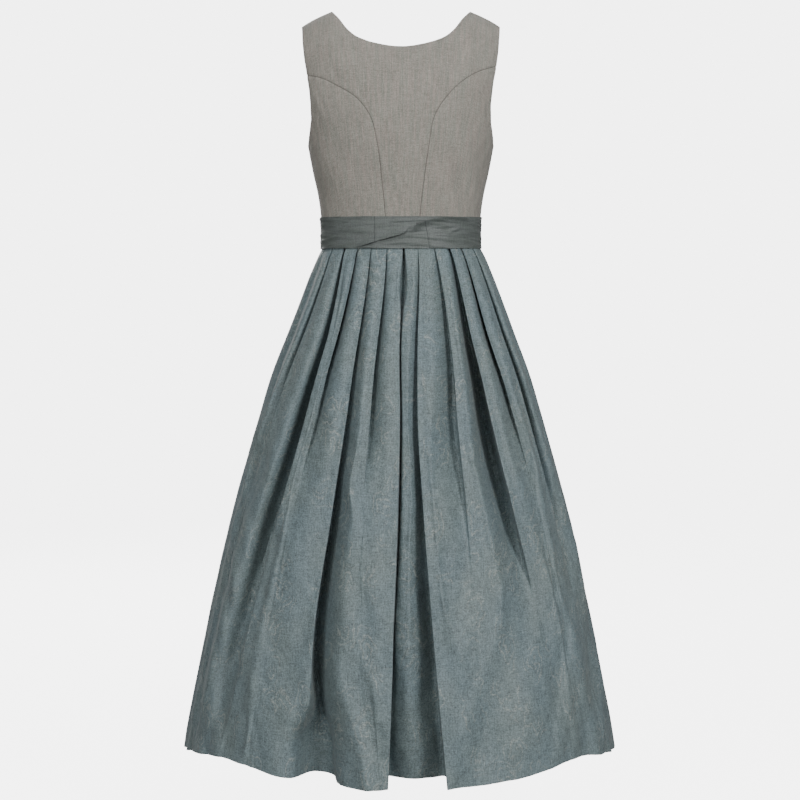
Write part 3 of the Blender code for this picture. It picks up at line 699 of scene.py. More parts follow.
def edge_distances(grid):
    """Each point's distance along the grid from its left, right, bottom and top edge."""
    across = np.linalg.norm(np.diff(grid, axis=1), axis=2)
    up = np.linalg.norm(np.diff(grid, axis=0), axis=2)
    left = np.concatenate([np.zeros((grid.shape[0], 1)), np.cumsum(across, axis=1)], axis=1)
    bottom = np.concatenate([np.zeros((1, grid.shape[1])), np.cumsum(up, axis=0)])
    return left, left[:, -1:] - left, bottom, bottom[-1:] - bottom


def shell_normals(grid):
    """The normals of a shell's outer face. An edge in the middle plane, seen from the back
    or the side, is cut square to it."""
    normals = grid_normals(grid)
    edge = np.ones(grid.shape[:2], bool)
    edge[1:-1, 1:-1] = False
    for axis in (0, 1):
        on_plane = edge & (np.abs(grid[:, :, axis]) < SQUARE_EDGE_REACH)
        normals[on_plane, axis] = 0.0
    return normals


def shell_faces(rows, columns):
    """The four-sided faces of a shell whose outer points come first, then the inner ones
    and then those of its rounded edge. Also the outer points along that edge."""
    count = rows * columns
    index = np.arange(count).reshape(rows, columns)
    quads = np.stack([index[:-1, :-1], index[:-1, 1:], index[1:, 1:], index[1:, :-1]], axis=-1)
    quads = quads.reshape(-1, 4)
    rim = np.concatenate([index[0], index[1:, -1], index[-1, -2::-1], index[-2:0:-1, 0]])
    next_rim = np.roll(rim, -1)
    middle = 2 * count + np.arange(len(rim))
    next_middle = np.roll(middle, -1)
    faces = np.concatenate([
        quads,
        quads[:, ::-1] + count,
        np.stack([next_rim, rim, middle, next_middle], axis=-1),
        np.stack([next_middle, middle, rim + count, next_rim + count], axis=-1),
    ])
    return faces, rim


def cloth_mesh(name, points, faces, places, material):
    """A mesh of four-sided faces. places says where each point lies on the flat cloth."""
    mesh = bpy.data.meshes.new(name)
    mesh.vertices.add(len(points))
    mesh.vertices.foreach_set("co", points.astype(np.float32).ravel())
    mesh.loops.add(faces.size)
    mesh.loops.foreach_set("vertex_index", faces.astype(np.int32).ravel())
    mesh.polygons.add(len(faces))
    mesh.polygons.foreach_set("loop_start", np.arange(0, faces.size, 4, dtype=np.int32))
    mesh.update(calc_edges=True)
    mesh.shade_smooth()
    mesh.set_sharp_from_angle(angle=SHARP_ANGLE)
    cloth = mesh.attributes.new("cloth", "FLOAT_VECTOR", "POINT")
    cloth.data.foreach_set("vector", places.astype(np.float32).ravel())
    mesh.materials.append(material)
    return mesh


def add_object(name, data):
    made = bpy.data.objects.new(name, data)
    bpy.context.scene.collection.objects.link(made)
    return made


def cloth_layout(around, up, front, third):
    """Each point's place on the flat cloth, for the weave, and as a third part its distance from a
    seam or from cloth lying over it, which sets the painted shade there, or on the skirt how far it
    is set back."""
    return np.stack([around, up + (FRONT_WEAVE_SHIFT if front else 0.0), third], axis=-1)


def add_cloth(name, grid, layout, material):
    """A piece of cloth: a closed thin shell with a rounded edge, whose outer face is the
    grid."""
    outer = grid.reshape(-1, 3)
    inner = (grid - shell_normals(grid) * CLOTH).reshape(-1, 3)
    faces, rim = shell_faces(*grid.shape[:2])
    points = np.concatenate([outer, inner, (outer[rim] + inner[rim]) / 2])
    flat = layout.reshape(-1, 3)
    places = np.concatenate([flat, flat, flat[rim]])
    piece = add_object(name, cloth_mesh(name, points, faces, places, material))
    sheet = SHEETS[name]
    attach(piece, "root")
    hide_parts(sheet.node)


# Bodice


def laid_line(points, rounding, count):
    """count (angle, run) pairs, evenly spaced on the body along a cut line."""
    fine = [laid(x, z, rounding) for x, z in even_points(points, FINE_POINTS)]
    fine = np.array(fine) * (TORSO_REACH, 1.0)
    steps = np.linalg.norm(np.diff(fine, axis=0), axis=1)
    along = np.concatenate([[0.0], np.cumsum(steps)])
    at = np.linspace(0.0, along[-1], count)
    return np.column_stack([
        np.interp(at, along, fine[:, 0]) / TORSO_REACH, np.interp(at, along, fine[:, 1])
    ])


def waist_run(angle, rounding):
    return rounding * math.pi / 2 + seam_height(angle) - WAIST_SEAM_Z - rounding


def waist_line(start, end, count, rounding):
    return [(angle, waist_run(angle, rounding)) for angle in np.linspace(start, end, count)]


def underarm_point():
    return section(TORSO, UNDERARM_Z)[0], UNDERARM_Z


def shoulder_tip():
    return section(TORSO, -SHOULDER_DROP)[0] * math.sin(SHOULDER_TIP_ANGLE), -SHOULDER_DROP


def armhole_split(seam_start_z):
    """The back armhole above and below the place where a back seam leaves it."""
    heights = [z for x, z in BACK_ARMHOLE][::-1]
    widths = [x for x, z in BACK_ARMHOLE][::-1]
    junction = (float(smooth(seam_start_z, heights, widths)), seam_start_z)
    above = [point for point in BACK_ARMHOLE if point[1] > seam_start_z + JUNCTION_CLEARANCE]
    below = [point for point in BACK_ARMHOLE if point[1] < seam_start_z - JUNCTION_CLEARANCE]
    return [shoulder_tip()] + above + [junction], [junction] + below


def back_seam(points, start_z, side):
    """(angle, run) up a back seam from the waist to the armhole."""
    junction = armhole_split(start_z)[0][-1]
    line = [(side * junction[0], junction[1])] + points
    return laid_line(line[::-1], BACK_ROUNDING, SEAM_ROWS + 1)


def back_edge(points, start_z, side):
    """(angle, run) up a side edge of the centre back, its seam and then the armhole."""
    above = [(side * x, z) for x, z in armhole_split(start_z)[0][::-1]]
    upper = laid_line(above, BACK_ROUNDING, UPPER_ROWS + 1)
    return np.concatenate([back_seam(points, start_z, side), upper[1:]])


def shoulder_line(side, count):
    """(angle, run) along a shoulder seam, from its tip to its neck point."""
    angles = np.linspace(SHOULDER_TIP_ANGLE, NECK_POINT_ANGLE, count)
    return np.column_stack([side * angles, np.zeros(count)])


def seam_relief(distance):
    return -SEAM_DIP * bell(distance, SEAM_DIP_REACH)


def free_relief(distance):
    """An edge with its turning inside: rolled at the edge, and a soft line further in."""
    line = FACING_HEIGHT * bell(distance - FACING_LINE, FACING_REACH)
    return line - FREE_EDGE_DIP * bell(distance, FREE_EDGE_REACH)


def dart_relief(lines, grid):
    """A sewn dart from the waist up to the bust, as a fine valley between soft swells,
    and each point's distance from it."""
    off = (np.abs(lines[:, :, 0]) - DART_ANGLE) * TORSO_REACH
    fade = smooth_step((DART_TOP_Z - grid[:, :, 2]) / DART_FADE)
    valley = DART_SWELL * bell(off, DART_SWELL_REACH) - DART_DIP * bell(off, DART_DIP_REACH)
    return fade * valley, np.abs(off) + FAR_FROM_SEAM * (1.0 - fade)


def add_linen(name, lines, front, seams, frees, material):
    """A bodice piece from its rows of (angle, run). seams and frees give the weight of a
    seam or a free edge along the left, right, bottom and top edges."""
    grid = let_out_edges([[on_body(angle, run, front) for angle, run in row] for row in lines])
    relief = np.zeros(grid.shape[:2])
    # Distance from the nearest seam or dart, which sets how dark the painted shade along it is
    painted_shade_distance = np.full(grid.shape[:2], FAR_FROM_SEAM)
    for distance, seam, free in zip(edge_distances(grid), seams, frees):
        relief += seam * seam_relief(distance) + free * free_relief(distance)
        painted_shade_distance = np.minimum(painted_shade_distance, distance + FAR_FROM_SEAM * (1.0 - seam))
    around = TORSO_REACH * lines[:, :, 0] * (1.0 if front else -1.0)
    run = lines[:, :, 1]
    # The waves die away at the side and shoulder seams, so that pieces meet there
    hold = smooth_step(np.abs(grid[:, :, 1]) / LINEN_HOLD)
    relief += hold * uneven(LINEN_RIPPLES, around, run, LINEN_SEED)
    if front:
        dart, near_dart = dart_relief(lines, grid)
        relief += dart
        painted_shade_distance = np.minimum(painted_shade_distance, near_dart)
    relief *= smooth_step(hold / LINEN_RELIEF_HOLD)
    relief -= UNDER_SASH_TUCK * smooth_step((SASH_TOP_Z - grid[:, :, 2]) / TUCK_REACH)
    grid = grid + grid_normals(grid) * relief[:, :, None]
    add_cloth(name, grid, cloth_layout(around, -run, front, painted_shade_distance), material)


def rows_weight(count, seam_rows):
    """1 for the rows of a side edge that are sewn, 0 above them, as a column."""
    return (np.arange(count) <= seam_rows).astype(float)[:, None]


def centre_back(material):
    neck = laid_line(mirrored(BACK_NECKLINE)[:-1] + BACK_NECKLINE[::-1], BACK_ROUNDING,
                     NECK_COLUMNS + 1)
    left_shoulder = shoulder_line(-1, SHOULDER_COLUMNS + 1)
    right_shoulder = shoulder_line(1, SHOULDER_COLUMNS + 1)[::-1]
    top = np.concatenate([left_shoulder[:-1], neck, right_shoulder[1:]])
    left = back_edge(LEFT_BACK_SEAM, LEFT_SEAM_START_Z, -1)
    right = back_edge(RIGHT_BACK_SEAM, RIGHT_SEAM_START_Z, 1)
    sewn = rows_weight(len(left), SEAM_ROWS)
    at_neck = np.zeros((1, len(top)))
    at_neck[0, SHOULDER_COLUMNS:-SHOULDER_COLUMNS] = 1.0
    add_linen(
        "back_centre_cloth", hung(top, left, right, SEAM_ROWS), False,
        seams=(sewn, sewn, 0.0, 1.0 - at_neck), frees=(1.0 - sewn, 1.0 - sewn, 0.0, at_neck),
        material=material,
    )


def side_back(name, seam, start_z, side, material):
    inner = back_seam(seam, start_z, side)
    below = [(side * x, z) for x, z in armhole_split(start_z)[1] + [underarm_point()]]
    armhole = laid_line(below, BACK_ROUNDING, SIDE_COLUMNS + 1)
    side_angle = side * math.pi / 2
    waist = np.array(waist_line(inner[0][0], side_angle, SIDE_COLUMNS + 1, BACK_ROUNDING))
    runs = np.linspace(waist[-1][1], armhole[-1][1], SEAM_ROWS + 1)
    outer = np.column_stack([np.full(SEAM_ROWS + 1, side_angle), runs])
    if side > 0:
        lines = patch(waist, armhole, inner, outer)
    else:
        lines = patch(waist[::-1], armhole[::-1], outer, inner)
    add_linen(name, lines, False, (1.0, 1.0, 0.0, 0.0), (0.0, 0.0, 0.0, 1.0), material)


def front_runs(angles, run, underarm):
    """The run of a front row at these angles: below the underarm the rows spread out so
    that they end level at the waist."""
    share = max((run - underarm) / (waist_run(0.0, FRONT_ROUNDING) - underarm), 0.0)
    drops = np.array([waist_run(angle, FRONT_ROUNDING) for angle in angles]) - underarm
    return underarm + share * drops if share > 0 else np.full(len(angles), run)


def front(name, side, material):
    neck = laid_line(FRONT_NECKLINE, FRONT_ROUNDING, NECK_ROWS + 1)
    cut_line = [shoulder_tip()] + FRONT_ARMHOLE + [underarm_point()]
    armhole = laid_line(cut_line, FRONT_ROUNDING, FINE_POINTS)
    neck_bottom = neck[-1, 1]
    underarm = armhole[-1, 1]
    between = underarm + (neck_bottom - underarm) * np.linspace(0, 1, BETWEEN_ROWS + 1) ** 2
    below = np.linspace(waist_run(0.0, FRONT_ROUNDING), underarm, FRONT_SIDE_ROWS + 1)
    runs = np.concatenate([below, between[1:], neck[::-1, 1][1:]])
    lines = []
    for run in runs:
        low = np.interp(run, neck[:, 1], neck[:, 0]) if run < neck_bottom else 0.0
        high = np.interp(run, armhole[:, 1], armhole[:, 0]) if run < underarm else math.pi / 2
        angles = np.linspace(low, high, FRONT_COLUMNS + 1)
        row = np.column_stack([side * angles, front_runs(angles, run, underarm)])
        lines.append(row[::-1] if side > 0 else row)
    middle = rows_weight(len(runs), FRONT_SIDE_ROWS + BETWEEN_ROWS)
    outer = rows_weight(len(runs), FRONT_SIDE_ROWS)
    left, right = (outer, middle) if side > 0 else (middle, outer)
    add_linen(name, np.array(lines), True, (left, right, 0.0, 1.0),
              (1.0 - left, 1.0 - right, 0.0, 0.0), material)


# Sash


def sash_edges(angle):
    """Heights of the sash's lower and upper edge at this angle."""
    rise = SASH_SIDE_RISE * (1 - math.cos(angle))
    return SASH_BOTTOM_Z + rise, SASH_TOP_Z + rise


def crossing_height(x):
    xs, heights = zip(*CROSSING)
    return float(smooth(x, xs, heights))


def sash_point(angle, z, front, outward):
    half_width, back, forward = section(TORSO, z)
    outward += SASH_CLEARANCE + CLOTH
    depth = (forward if front else back) + outward
    return ((half_width + outward) * math.sin(angle),
            (depth if front else -depth) * math.cos(angle), z)


def crease_relief(x, z):
    """A short crease that runs up to the right on the sash's lower end."""
    (x0, z0), (x1, z1) = SASH_CREASE
    length = math.hypot(x1 - x0, z1 - z0)
    along = ((x - x0) * (x1 - x0) + (z - z0) * (z1 - z0)) / length**2
    across = ((z - z0) * (x1 - x0) - (x - x0) * (z1 - z0)) / length
    taper = smooth_step(CREASE_FADE - np.abs(along - 0.5) * 2.0)
    ridge = bell(across - CREASE_RIDGE.place, CREASE_RIDGE.reach)
    valley = bell(across - CREASE_VALLEY.place, CREASE_VALLEY.reach)
    return CREASE_HEIGHT * taper * (ridge - valley)


def add_sash(name, rows, angles, shaded, front, material):
    """A stretch of the sash, with fine lengthwise wrinkles of a band that is pulled tight. shaded
    is each point's distance from what lies over it, which sets how dark the painted shadow there
    is."""
    grid = let_out_edges(rows)
    around = np.broadcast_to(TORSO_REACH * np.asarray(angles), grid.shape[:2])
    x, height = grid[:, :, 0], grid[:, :, 2]
    relief = uneven(SASH_RIPPLES, around, height, SASH_SEEDS[name])
    # Distance that sets the painted shade: from the end lying over this one, or from a joint
    painted_shade_distance = np.minimum(shaded, FAR_FROM_SEAM)
    for joint in SASH_JOINTS:
        if joint.piece == name:
            off = np.abs(x - joint.x - joint.lean * (height - SASH_TOP_Z))
            relief -= JOINT_DIP * bell(off, JOINT_REACH)
            painted_shade_distance = np.minimum(painted_shade_distance, off)
    if name == CREASED_PIECE:
        relief += crease_relief(x, height)
    hold = smooth_step(np.abs(grid[:, :, 1]) / SASH_HOLD)
    relief = np.maximum(relief * hold, -SASH_DEEPEST)
    grid = grid + grid_normals(grid) * relief[:, :, None]
    add_cloth(name, grid, cloth_layout(around, height, front, painted_shade_distance), material)


def crossing_at(x, upper):
    """How this end of the sash lies at x."""
    ahead = (CROSSING_SWAP_X - x) if upper else (x - CROSSING_SWAP_X)
    to_end = min(x - CROSSING[0][0], CROSSING[-1][0] - x)
    present = smooth_step(to_end / CROSSING_END_REACH)
    return Crossed(
        on_top=present * smooth_step(ahead / CROSSING_SWAP_REACH),
        beneath=present * smooth_step(-ahead / CROSSING_SWAP_REACH),
        twist=bell(x - TWIST_X, TWIST_REACH),
    )


def crossing_lift(off_line, here):
    """How far an end stands out at these distances from its edge at the crossing."""
    height = CROSSING_RAISE * blend(here.twist, *TWIST_RAISE)
    lift = height * bell(off_line, CROSSING_RAISE_REACH)
    lift += CROSSING_EDGE * bell(off_line, CROSSING_EDGE_REACH)
    sink = SASH_DEEPEST * bell(off_line, CROSSING_SINK_REACH)
    return here.on_top * lift - here.beneath * sink


def sash_end(name, angles, upper, material):
    """One end of the sash, down to the crossing or up to it."""
    half_width = section(TORSO, WAIST_SEAM_Z)[0]
    grid = np.zeros((SASH_ROWS, len(angles), 3))
    shaded = np.zeros((SASH_ROWS, len(angles)))
    for column, angle in enumerate(angles):
        x = half_width * math.sin(angle)
        here = crossing_at(x, upper)
        low, high = sash_edges(angle)
        line = min(crossing_height(x), high - CROSSING_LEAST_HEIGHT)
        line = max(line, low + CROSSING_LEAST_HEIGHT)
        reach = CROSSING_OVERHANG * here.on_top + CROSSING_UNDERLAP * here.beneath
        crossed = CROSSING[0][0] - SEAM_OVERLAP < x < CROSSING[-1][0] + SEAM_OVERLAP
        if crossed and upper:
            low = max(line - reach, low)
        elif crossed:
            high = min(line + reach, high)
        heights = np.linspace(low, high, SASH_ROWS)
        off_line = (heights - low) if upper else (high - heights)
        lifts = crossing_lift(off_line, here)
        grid[:, column] = [
            sash_point(angle, z, False, lift) for z, lift in zip(heights, lifts)
        ]
        # A painted shadow on the end that lies beneath, darkest along the crossing line
        shade = CROSSING_SHADE * blend(here.twist, *TWIST_SHADE)
        shaded[:, column] = np.maximum(off_line - reach, 0.0) * shade
        shaded[:, column] += FAR_FROM_SEAM * (1.0 - here.beneath)
    add_sash(name, grid, angles, shaded, False, material)


def sash(material):
    half_width = section(TORSO, WAIST_SEAM_Z)[0]
    side = math.pi / 2
    first = math.asin(CROSSING[0][0] / half_width)
    last = math.asin(CROSSING[-1][0] / half_width)
    crossed = np.linspace(first, last, CROSSING_COLUMNS)
    before = np.linspace(-side, first, SASH_SIDE_COLUMNS)[:-1]
    after = np.linspace(last, side, SASH_SIDE_COLUMNS)[1:]
    sash_end("sash_left_cloth", np.concatenate([before, crossed]), True, material)
    sash_end("sash_right_cloth", np.concatenate([crossed, after]), False, material)
    angles = np.linspace(side, -side, SASH_FRONT_COLUMNS)
    columns = []
    for angle in angles:
        heights = np.linspace(*sash_edges(angle), SASH_ROWS)
        columns.append([sash_point(angle, z, True, 0.0) for z in heights])
    rows = np.array(columns).swapaxes(0, 1)
    open_cloth = np.full((SASH_ROWS, SASH_FRONT_COLUMNS), FAR_FROM_SEAM)
    add_sash("sash_front_cloth", rows, angles, open_cloth, True, material)


# Skirt


def fold_at(fold, z):
    """What a fold is like at one height, in metres and radians."""

    def here(values):
        return float(smooth(z, FOLD_LEVELS[::-1], values[::-1]))

    gape = fold.gape * bell(z - GAPE_Z, GAPE_REACH)
    return FoldHere(
        angle=math.radians(here(fold.angles)),
        depth=max(here(fold.depths), 0.0) / 1000,
        lap=here(fold.laps) / 1000,
        width=here(FOLD_HALF_WIDTHS),
        panel=max(here(fold.panel), 0.0) / 1000,
        opening=(max(here(fold.openings), 0.0) + gape) / 1000,
        step=fold.step * float(smooth_step((STEP_START_Z - z) / STEP_REACH)),
    )


def left_on_top(here):
    """1 where the cloth on a fold's left laps over it, 0 where that on its right does."""
    return float(smooth_step(0.5 + 0.5 * here.lap / FULL_LAP))


def softness(here):
    """How soft the left side of a fold with a step is."""
    return float(smooth_step((here.step - SOFT_FROM) / (1 - SOFT_FROM)))


def lapped_profile(left, right, reach, crispness, floor, before, bottom, after):
    """(offset, set-back) of a fold's ten places, from left to right along the cloth, where
    its left side laps over its right."""
    tip = 0.5 * reach
    fine = (0.12 + 0.5 * (1 - crispness)) * min(left, right)
    over = [
        (-left, before),
        (min(-LIP_PLACE * left, tip - 1.2 * fine), before - LIP_SHARE * EDGE_RAISE),
        (tip - fine, before - EDGE_RAISE),
        (tip, before - EDGE_SHARE * EDGE_RAISE),
        (tip - 0.5 * fine * crispness, before + WALL_TOP * (bottom - before)),
        (-tip, before + WALL_FOOT * (bottom - before)),
    ]
    under = [
        ((place.share + place.wider * floor) * right, after + place.depth * (bottom - after))
        for place in SOFT_PLACES
    ]
    return np.array(over + under + [(right, after)])


def open_profile(left, right, gape, before, bottom, after):
    """The same ten places of a fold that gapes between two sharp edges."""
    half = 0.5 * gape
    left, right = max(left, 2.4 * half), max(right, 2.4 * half)
    fine = 0.12 * min(left, right)
    return np.array([
        (-left, before),
        (-LIP_PLACE * left, before - LIP_SHARE * EDGE_RAISE),
        (-half - fine, before - EDGE_RAISE),
        (-half, before - EDGE_SHARE * EDGE_RAISE),
        (-half, before + 0.35 * (bottom - before)),
        (-0.4 * half, bottom),
        (0.4 * half, bottom),
        (half, after + 0.35 * (bottom - after)),
        (half, after - EDGE_SHARE * EDGE_RAISE),
        (right, after),
    ])


def stepped_profile(left, right, softness, before, bottom, after):
    """The same ten places of a fold whose floor ends in a sharp step on its right."""
    back = bottom - before
    crisp_left = np.array([
        (-left, before),
        (-LIP_PLACE * left, before - 0.5 * EDGE_RAISE),
        (-0.05 * left, before - 0.2 * EDGE_RAISE),
        (0.01 * right, before + 0.55 * back),
        (0.05 * right, before + 0.97 * back),
    ])
    soft_left = np.array([
        (-left, before),
        (-0.78 * left, before + 0.14 * back),
        (-0.56 * left, before + 0.44 * back),
        (-0.34 * left, before + 0.76 * back),
        (-0.12 * left, before + 0.95 * back),
    ])
    left_side = blend(softness, crisp_left, soft_left)
    return np.vstack([left_side, [
        (0.28 * right, bottom),
        (0.445 * right, after + 0.94 * (bottom - after)),
        (0.455 * right, after + 0.42 * (bottom - after)),
        (0.70 * right, after + 0.12 * (bottom - after)),
        (right, after),
    ]])


def fold_outline(fold, here, stretch, left, right, before):
    """(offset, set-back) of a fold's ten places at one height."""
    after = here.panel
    bottom = max(here.depth, before, after)
    form = (abs(here.lap) / stretch, min(1.0, abs(here.lap) / FULL_LAP), fold.floor)
    left_over = lapped_profile(left, right, *form, before, bottom, after)
    right_over = lapped_profile(right, left, *form, after, bottom, before)[::-1] * (-1, 1)
    profile = blend(left_on_top(here), right_over, left_over)
    gaping = open_profile(left, right, here.opening / stretch, before, bottom, after)
    profile = blend(float(smooth_step(here.opening / FULL_OPENING)), profile, gaping)
    stepped = stepped_profile(left, right, softness(here), before, bottom, after)
    return blend(here.step, profile, stepped)


def fold_sides(folds, found, stretches):
    """How far each fold reaches to its left and to its right, as angles. The soft side is
    the one that lies below."""
    sides = []
    for fold, here, stretch in zip(folds, found, stretches):
        blunt = 1 - min(1.0, abs(here.lap) / FULL_LAP)
        present = blend(float(smooth_step(here.depth / FULL_DEPTH)), LEAST_SIDE, 1.0)
        scale = present * here.width / stretch
        crisp = scale * (CRISP_SIDE + max(blunt, STEP_SIDE * softness(here)))
        soft = scale * (SOFT_SIDE * fold.wide + STEP_FLOOR * here.step)
        on_left = left_on_top(here)
        sides.append([blend(on_left, soft, crisp), blend(on_left, crisp, soft)])
    for k in range(len(folds) - 1):
        room = MOST_PANEL_SHARE * (found[k + 1].angle - found[k].angle)
        shrink = min(1.0, room / (sides[k][1] + sides[k + 1][0]))
        sides[k][1] *= shrink
        sides[k + 1][0] *= shrink
    sides[0][0] = min(sides[0][0], MOST_PANEL_SHARE * (found[0].angle + math.pi / 2))
    sides[-1][1] = min(sides[-1][1], MOST_PANEL_SHARE * (math.pi / 2 - found[-1].angle))
    return sides


def skirt_guides(folds, z, half_width, depth):
    """(angle, set-back) of each guide point of the skirt's ring at one height."""
    found = [fold_at(fold, z) for fold in folds]
    stretches = [
        math.hypot(half_width * math.cos(here.angle), depth * math.sin(here.angle))
        for here in found
    ]
    crown_share = float(smooth_step((CROWN_START_Z - z) / CROWN_REACH))
    guides = [(-math.pi / 2, 0.0)]
    before = 0.0
    sides = fold_sides(folds, found, stretches)
    for fold, here, stretch, (left, right) in zip(folds, found, stretches, sides):
        start = guides[-1][0]
        end = here.angle - left
        crown = crown_share * (PANEL_CROWN + SIDE_CROWN * abs(math.sin(here.angle)))
        crown *= min(1.0, (end - start) * stretch / FULL_CROWN_WIDTH)
        guides += [(blend(share, start, end), before - crown) for share in CROWN_PLACES]
        profile = fold_outline(fold, here, stretch, left, right, before)
        guides += [(here.angle + offset, set_back) for offset, set_back in profile]
        before = here.panel
    start = guides[-1][0]
    guides += [(blend(share, start, math.pi / 2), before) for share in LAST_PANEL_PLACES]
    return np.array(guides + [(math.pi / 2, before)])


def rounded(guides, samples):
    """Points on the smooth curve that the guide points pull, ends kept."""
    padded = np.concatenate([[2 * guides[0] - guides[1]], guides, [2 * guides[-1] - guides[-2]]])
    t = (np.arange(samples) / samples)[None, :, None]
    a, b, c, d = (padded[k:len(padded) - 3 + k, None, :] for k in range(4))
    curve = (
        (1 - t) ** 3 * a + (3 * t**3 - 6 * t**2 + 4) * b
        + (-3 * t**3 + 3 * t**2 + 3 * t + 1) * c + t**3 * d
    ) / 6
    return np.concatenate([curve.reshape(-1, 2), [guides[-1]]])


def skirt_relief(around, z, down, seed):
    """Soft unevenness that grows down the skirt, fine crumples by the hem and the inner
    edge of the turned hem, pressed unevenly."""
    relief = down * uneven(SKIRT_RIPPLES, around, z, seed)
    relief += min(1.0, FINE_RIPPLES_GROWTH * down) * uneven(FINE_RIPPLES, around, z, seed + 2)
    relief += bell(z - CRUMPLE_Z, CRUMPLE_REACH) * uneven(CRUMPLES, around, z, seed + 3)
    pressed = HEM_LINE_EVEN + uneven(HEM_LINE_RIPPLES, around, z - HEM_Z, seed + 4)
    return relief - HEM_LINE_DIP * pressed * bell(z - HEM_Z - HEM_LINE, HEM_LINE_REACH)


def set_back_direction(angles, half_width, depth):
    """The direction in which the skirt's folds go back, as x and y parts."""
    normal_x = np.sin(angles) / half_width
    normal_y = np.cos(angles) / depth
    length = np.hypot(normal_x, normal_y)
    lean = DEEPEST_LEAN * (1 - smooth_step((np.abs(angles) - LEAN_START) / LEAN_REACH))
    back_x = -(1 - lean) * normal_x / length
    back_y = -(1 - lean) * normal_y / length - lean
    length = np.hypot(back_x, back_y)
    return back_x / length, back_y / length


def skirt_row(folds, z, front, seed):
    """The skirt's ring at one height: each point's place, its way round the flat cloth and
    how far it is set back."""
    half_width, back, forward = section(SKIRT, z)
    depth = forward if front else back
    angles, set_back = rounded(skirt_guides(folds, z, half_width, depth), PLEAT_SAMPLES).T
    around = angles * half_width
    down = (SKIRT_TOP_Z - z) / (SKIRT_TOP_Z - HEM_Z)
    if z > SKIRT_LEVEL_Z:
        # Under the sash the pleats lie flat
        pressed = float(smooth_step((SKIRT_TOP_Z - z) / (SKIRT_TOP_Z - SKIRT_LEVEL_Z)))
        set_back = np.maximum(set_back, 0.0) * blend(pressed, PRESSED_SHARE, 1.0)
    else:
        hold = smooth_step((math.pi / 2 - np.abs(angles)) / SKIRT_HOLD)
        set_back = set_back - hold * skirt_relief(around, z, down, seed)
    back_x, back_y = set_back_direction(angles, half_width, depth)
    x = half_width * np.sin(angles) + set_back * back_x + float(read(SKIRT_SHIFTS, "z", "x", z))
    y = depth * np.cos(angles) + set_back * back_y
    tilt = SASH_SIDE_RISE * (1 - np.cos(angles)) * max(0.0, 1 - down / TILT_SHARE)
    if z == SKIRT_TOP_Z:
        tilt = 0.0
    rise = read(HEM_RISES, "angle", "rise", np.abs(np.degrees(angles)))
    level = z + tilt + rise * down**HEM_RISE_POWER
    row = np.column_stack([x, y if front else -y, level, around, set_back])
    return row[::-1] if front else row


def skirt_half(name, folds, front, material):
    share = np.linspace(0, 1, SKIRT_ROWS)
    spread = blend(EVEN_ROWS_SHARE, share**ROWS_POWER, share)
    heights = SKIRT_TOP_Z + (HEM_Z - SKIRT_TOP_Z) * spread
    rows = np.array([skirt_row(folds, z, front, SKIRT_SEEDS[name]) for z in heights[::-1]])
    grid = let_out_edges(rows[:, :, :3])
    layout = cloth_layout(rows[:, :, 3], grid[:, :, 2], front, rows[:, :, 4])
    add_cloth(name, grid, layout, material)


# Materials


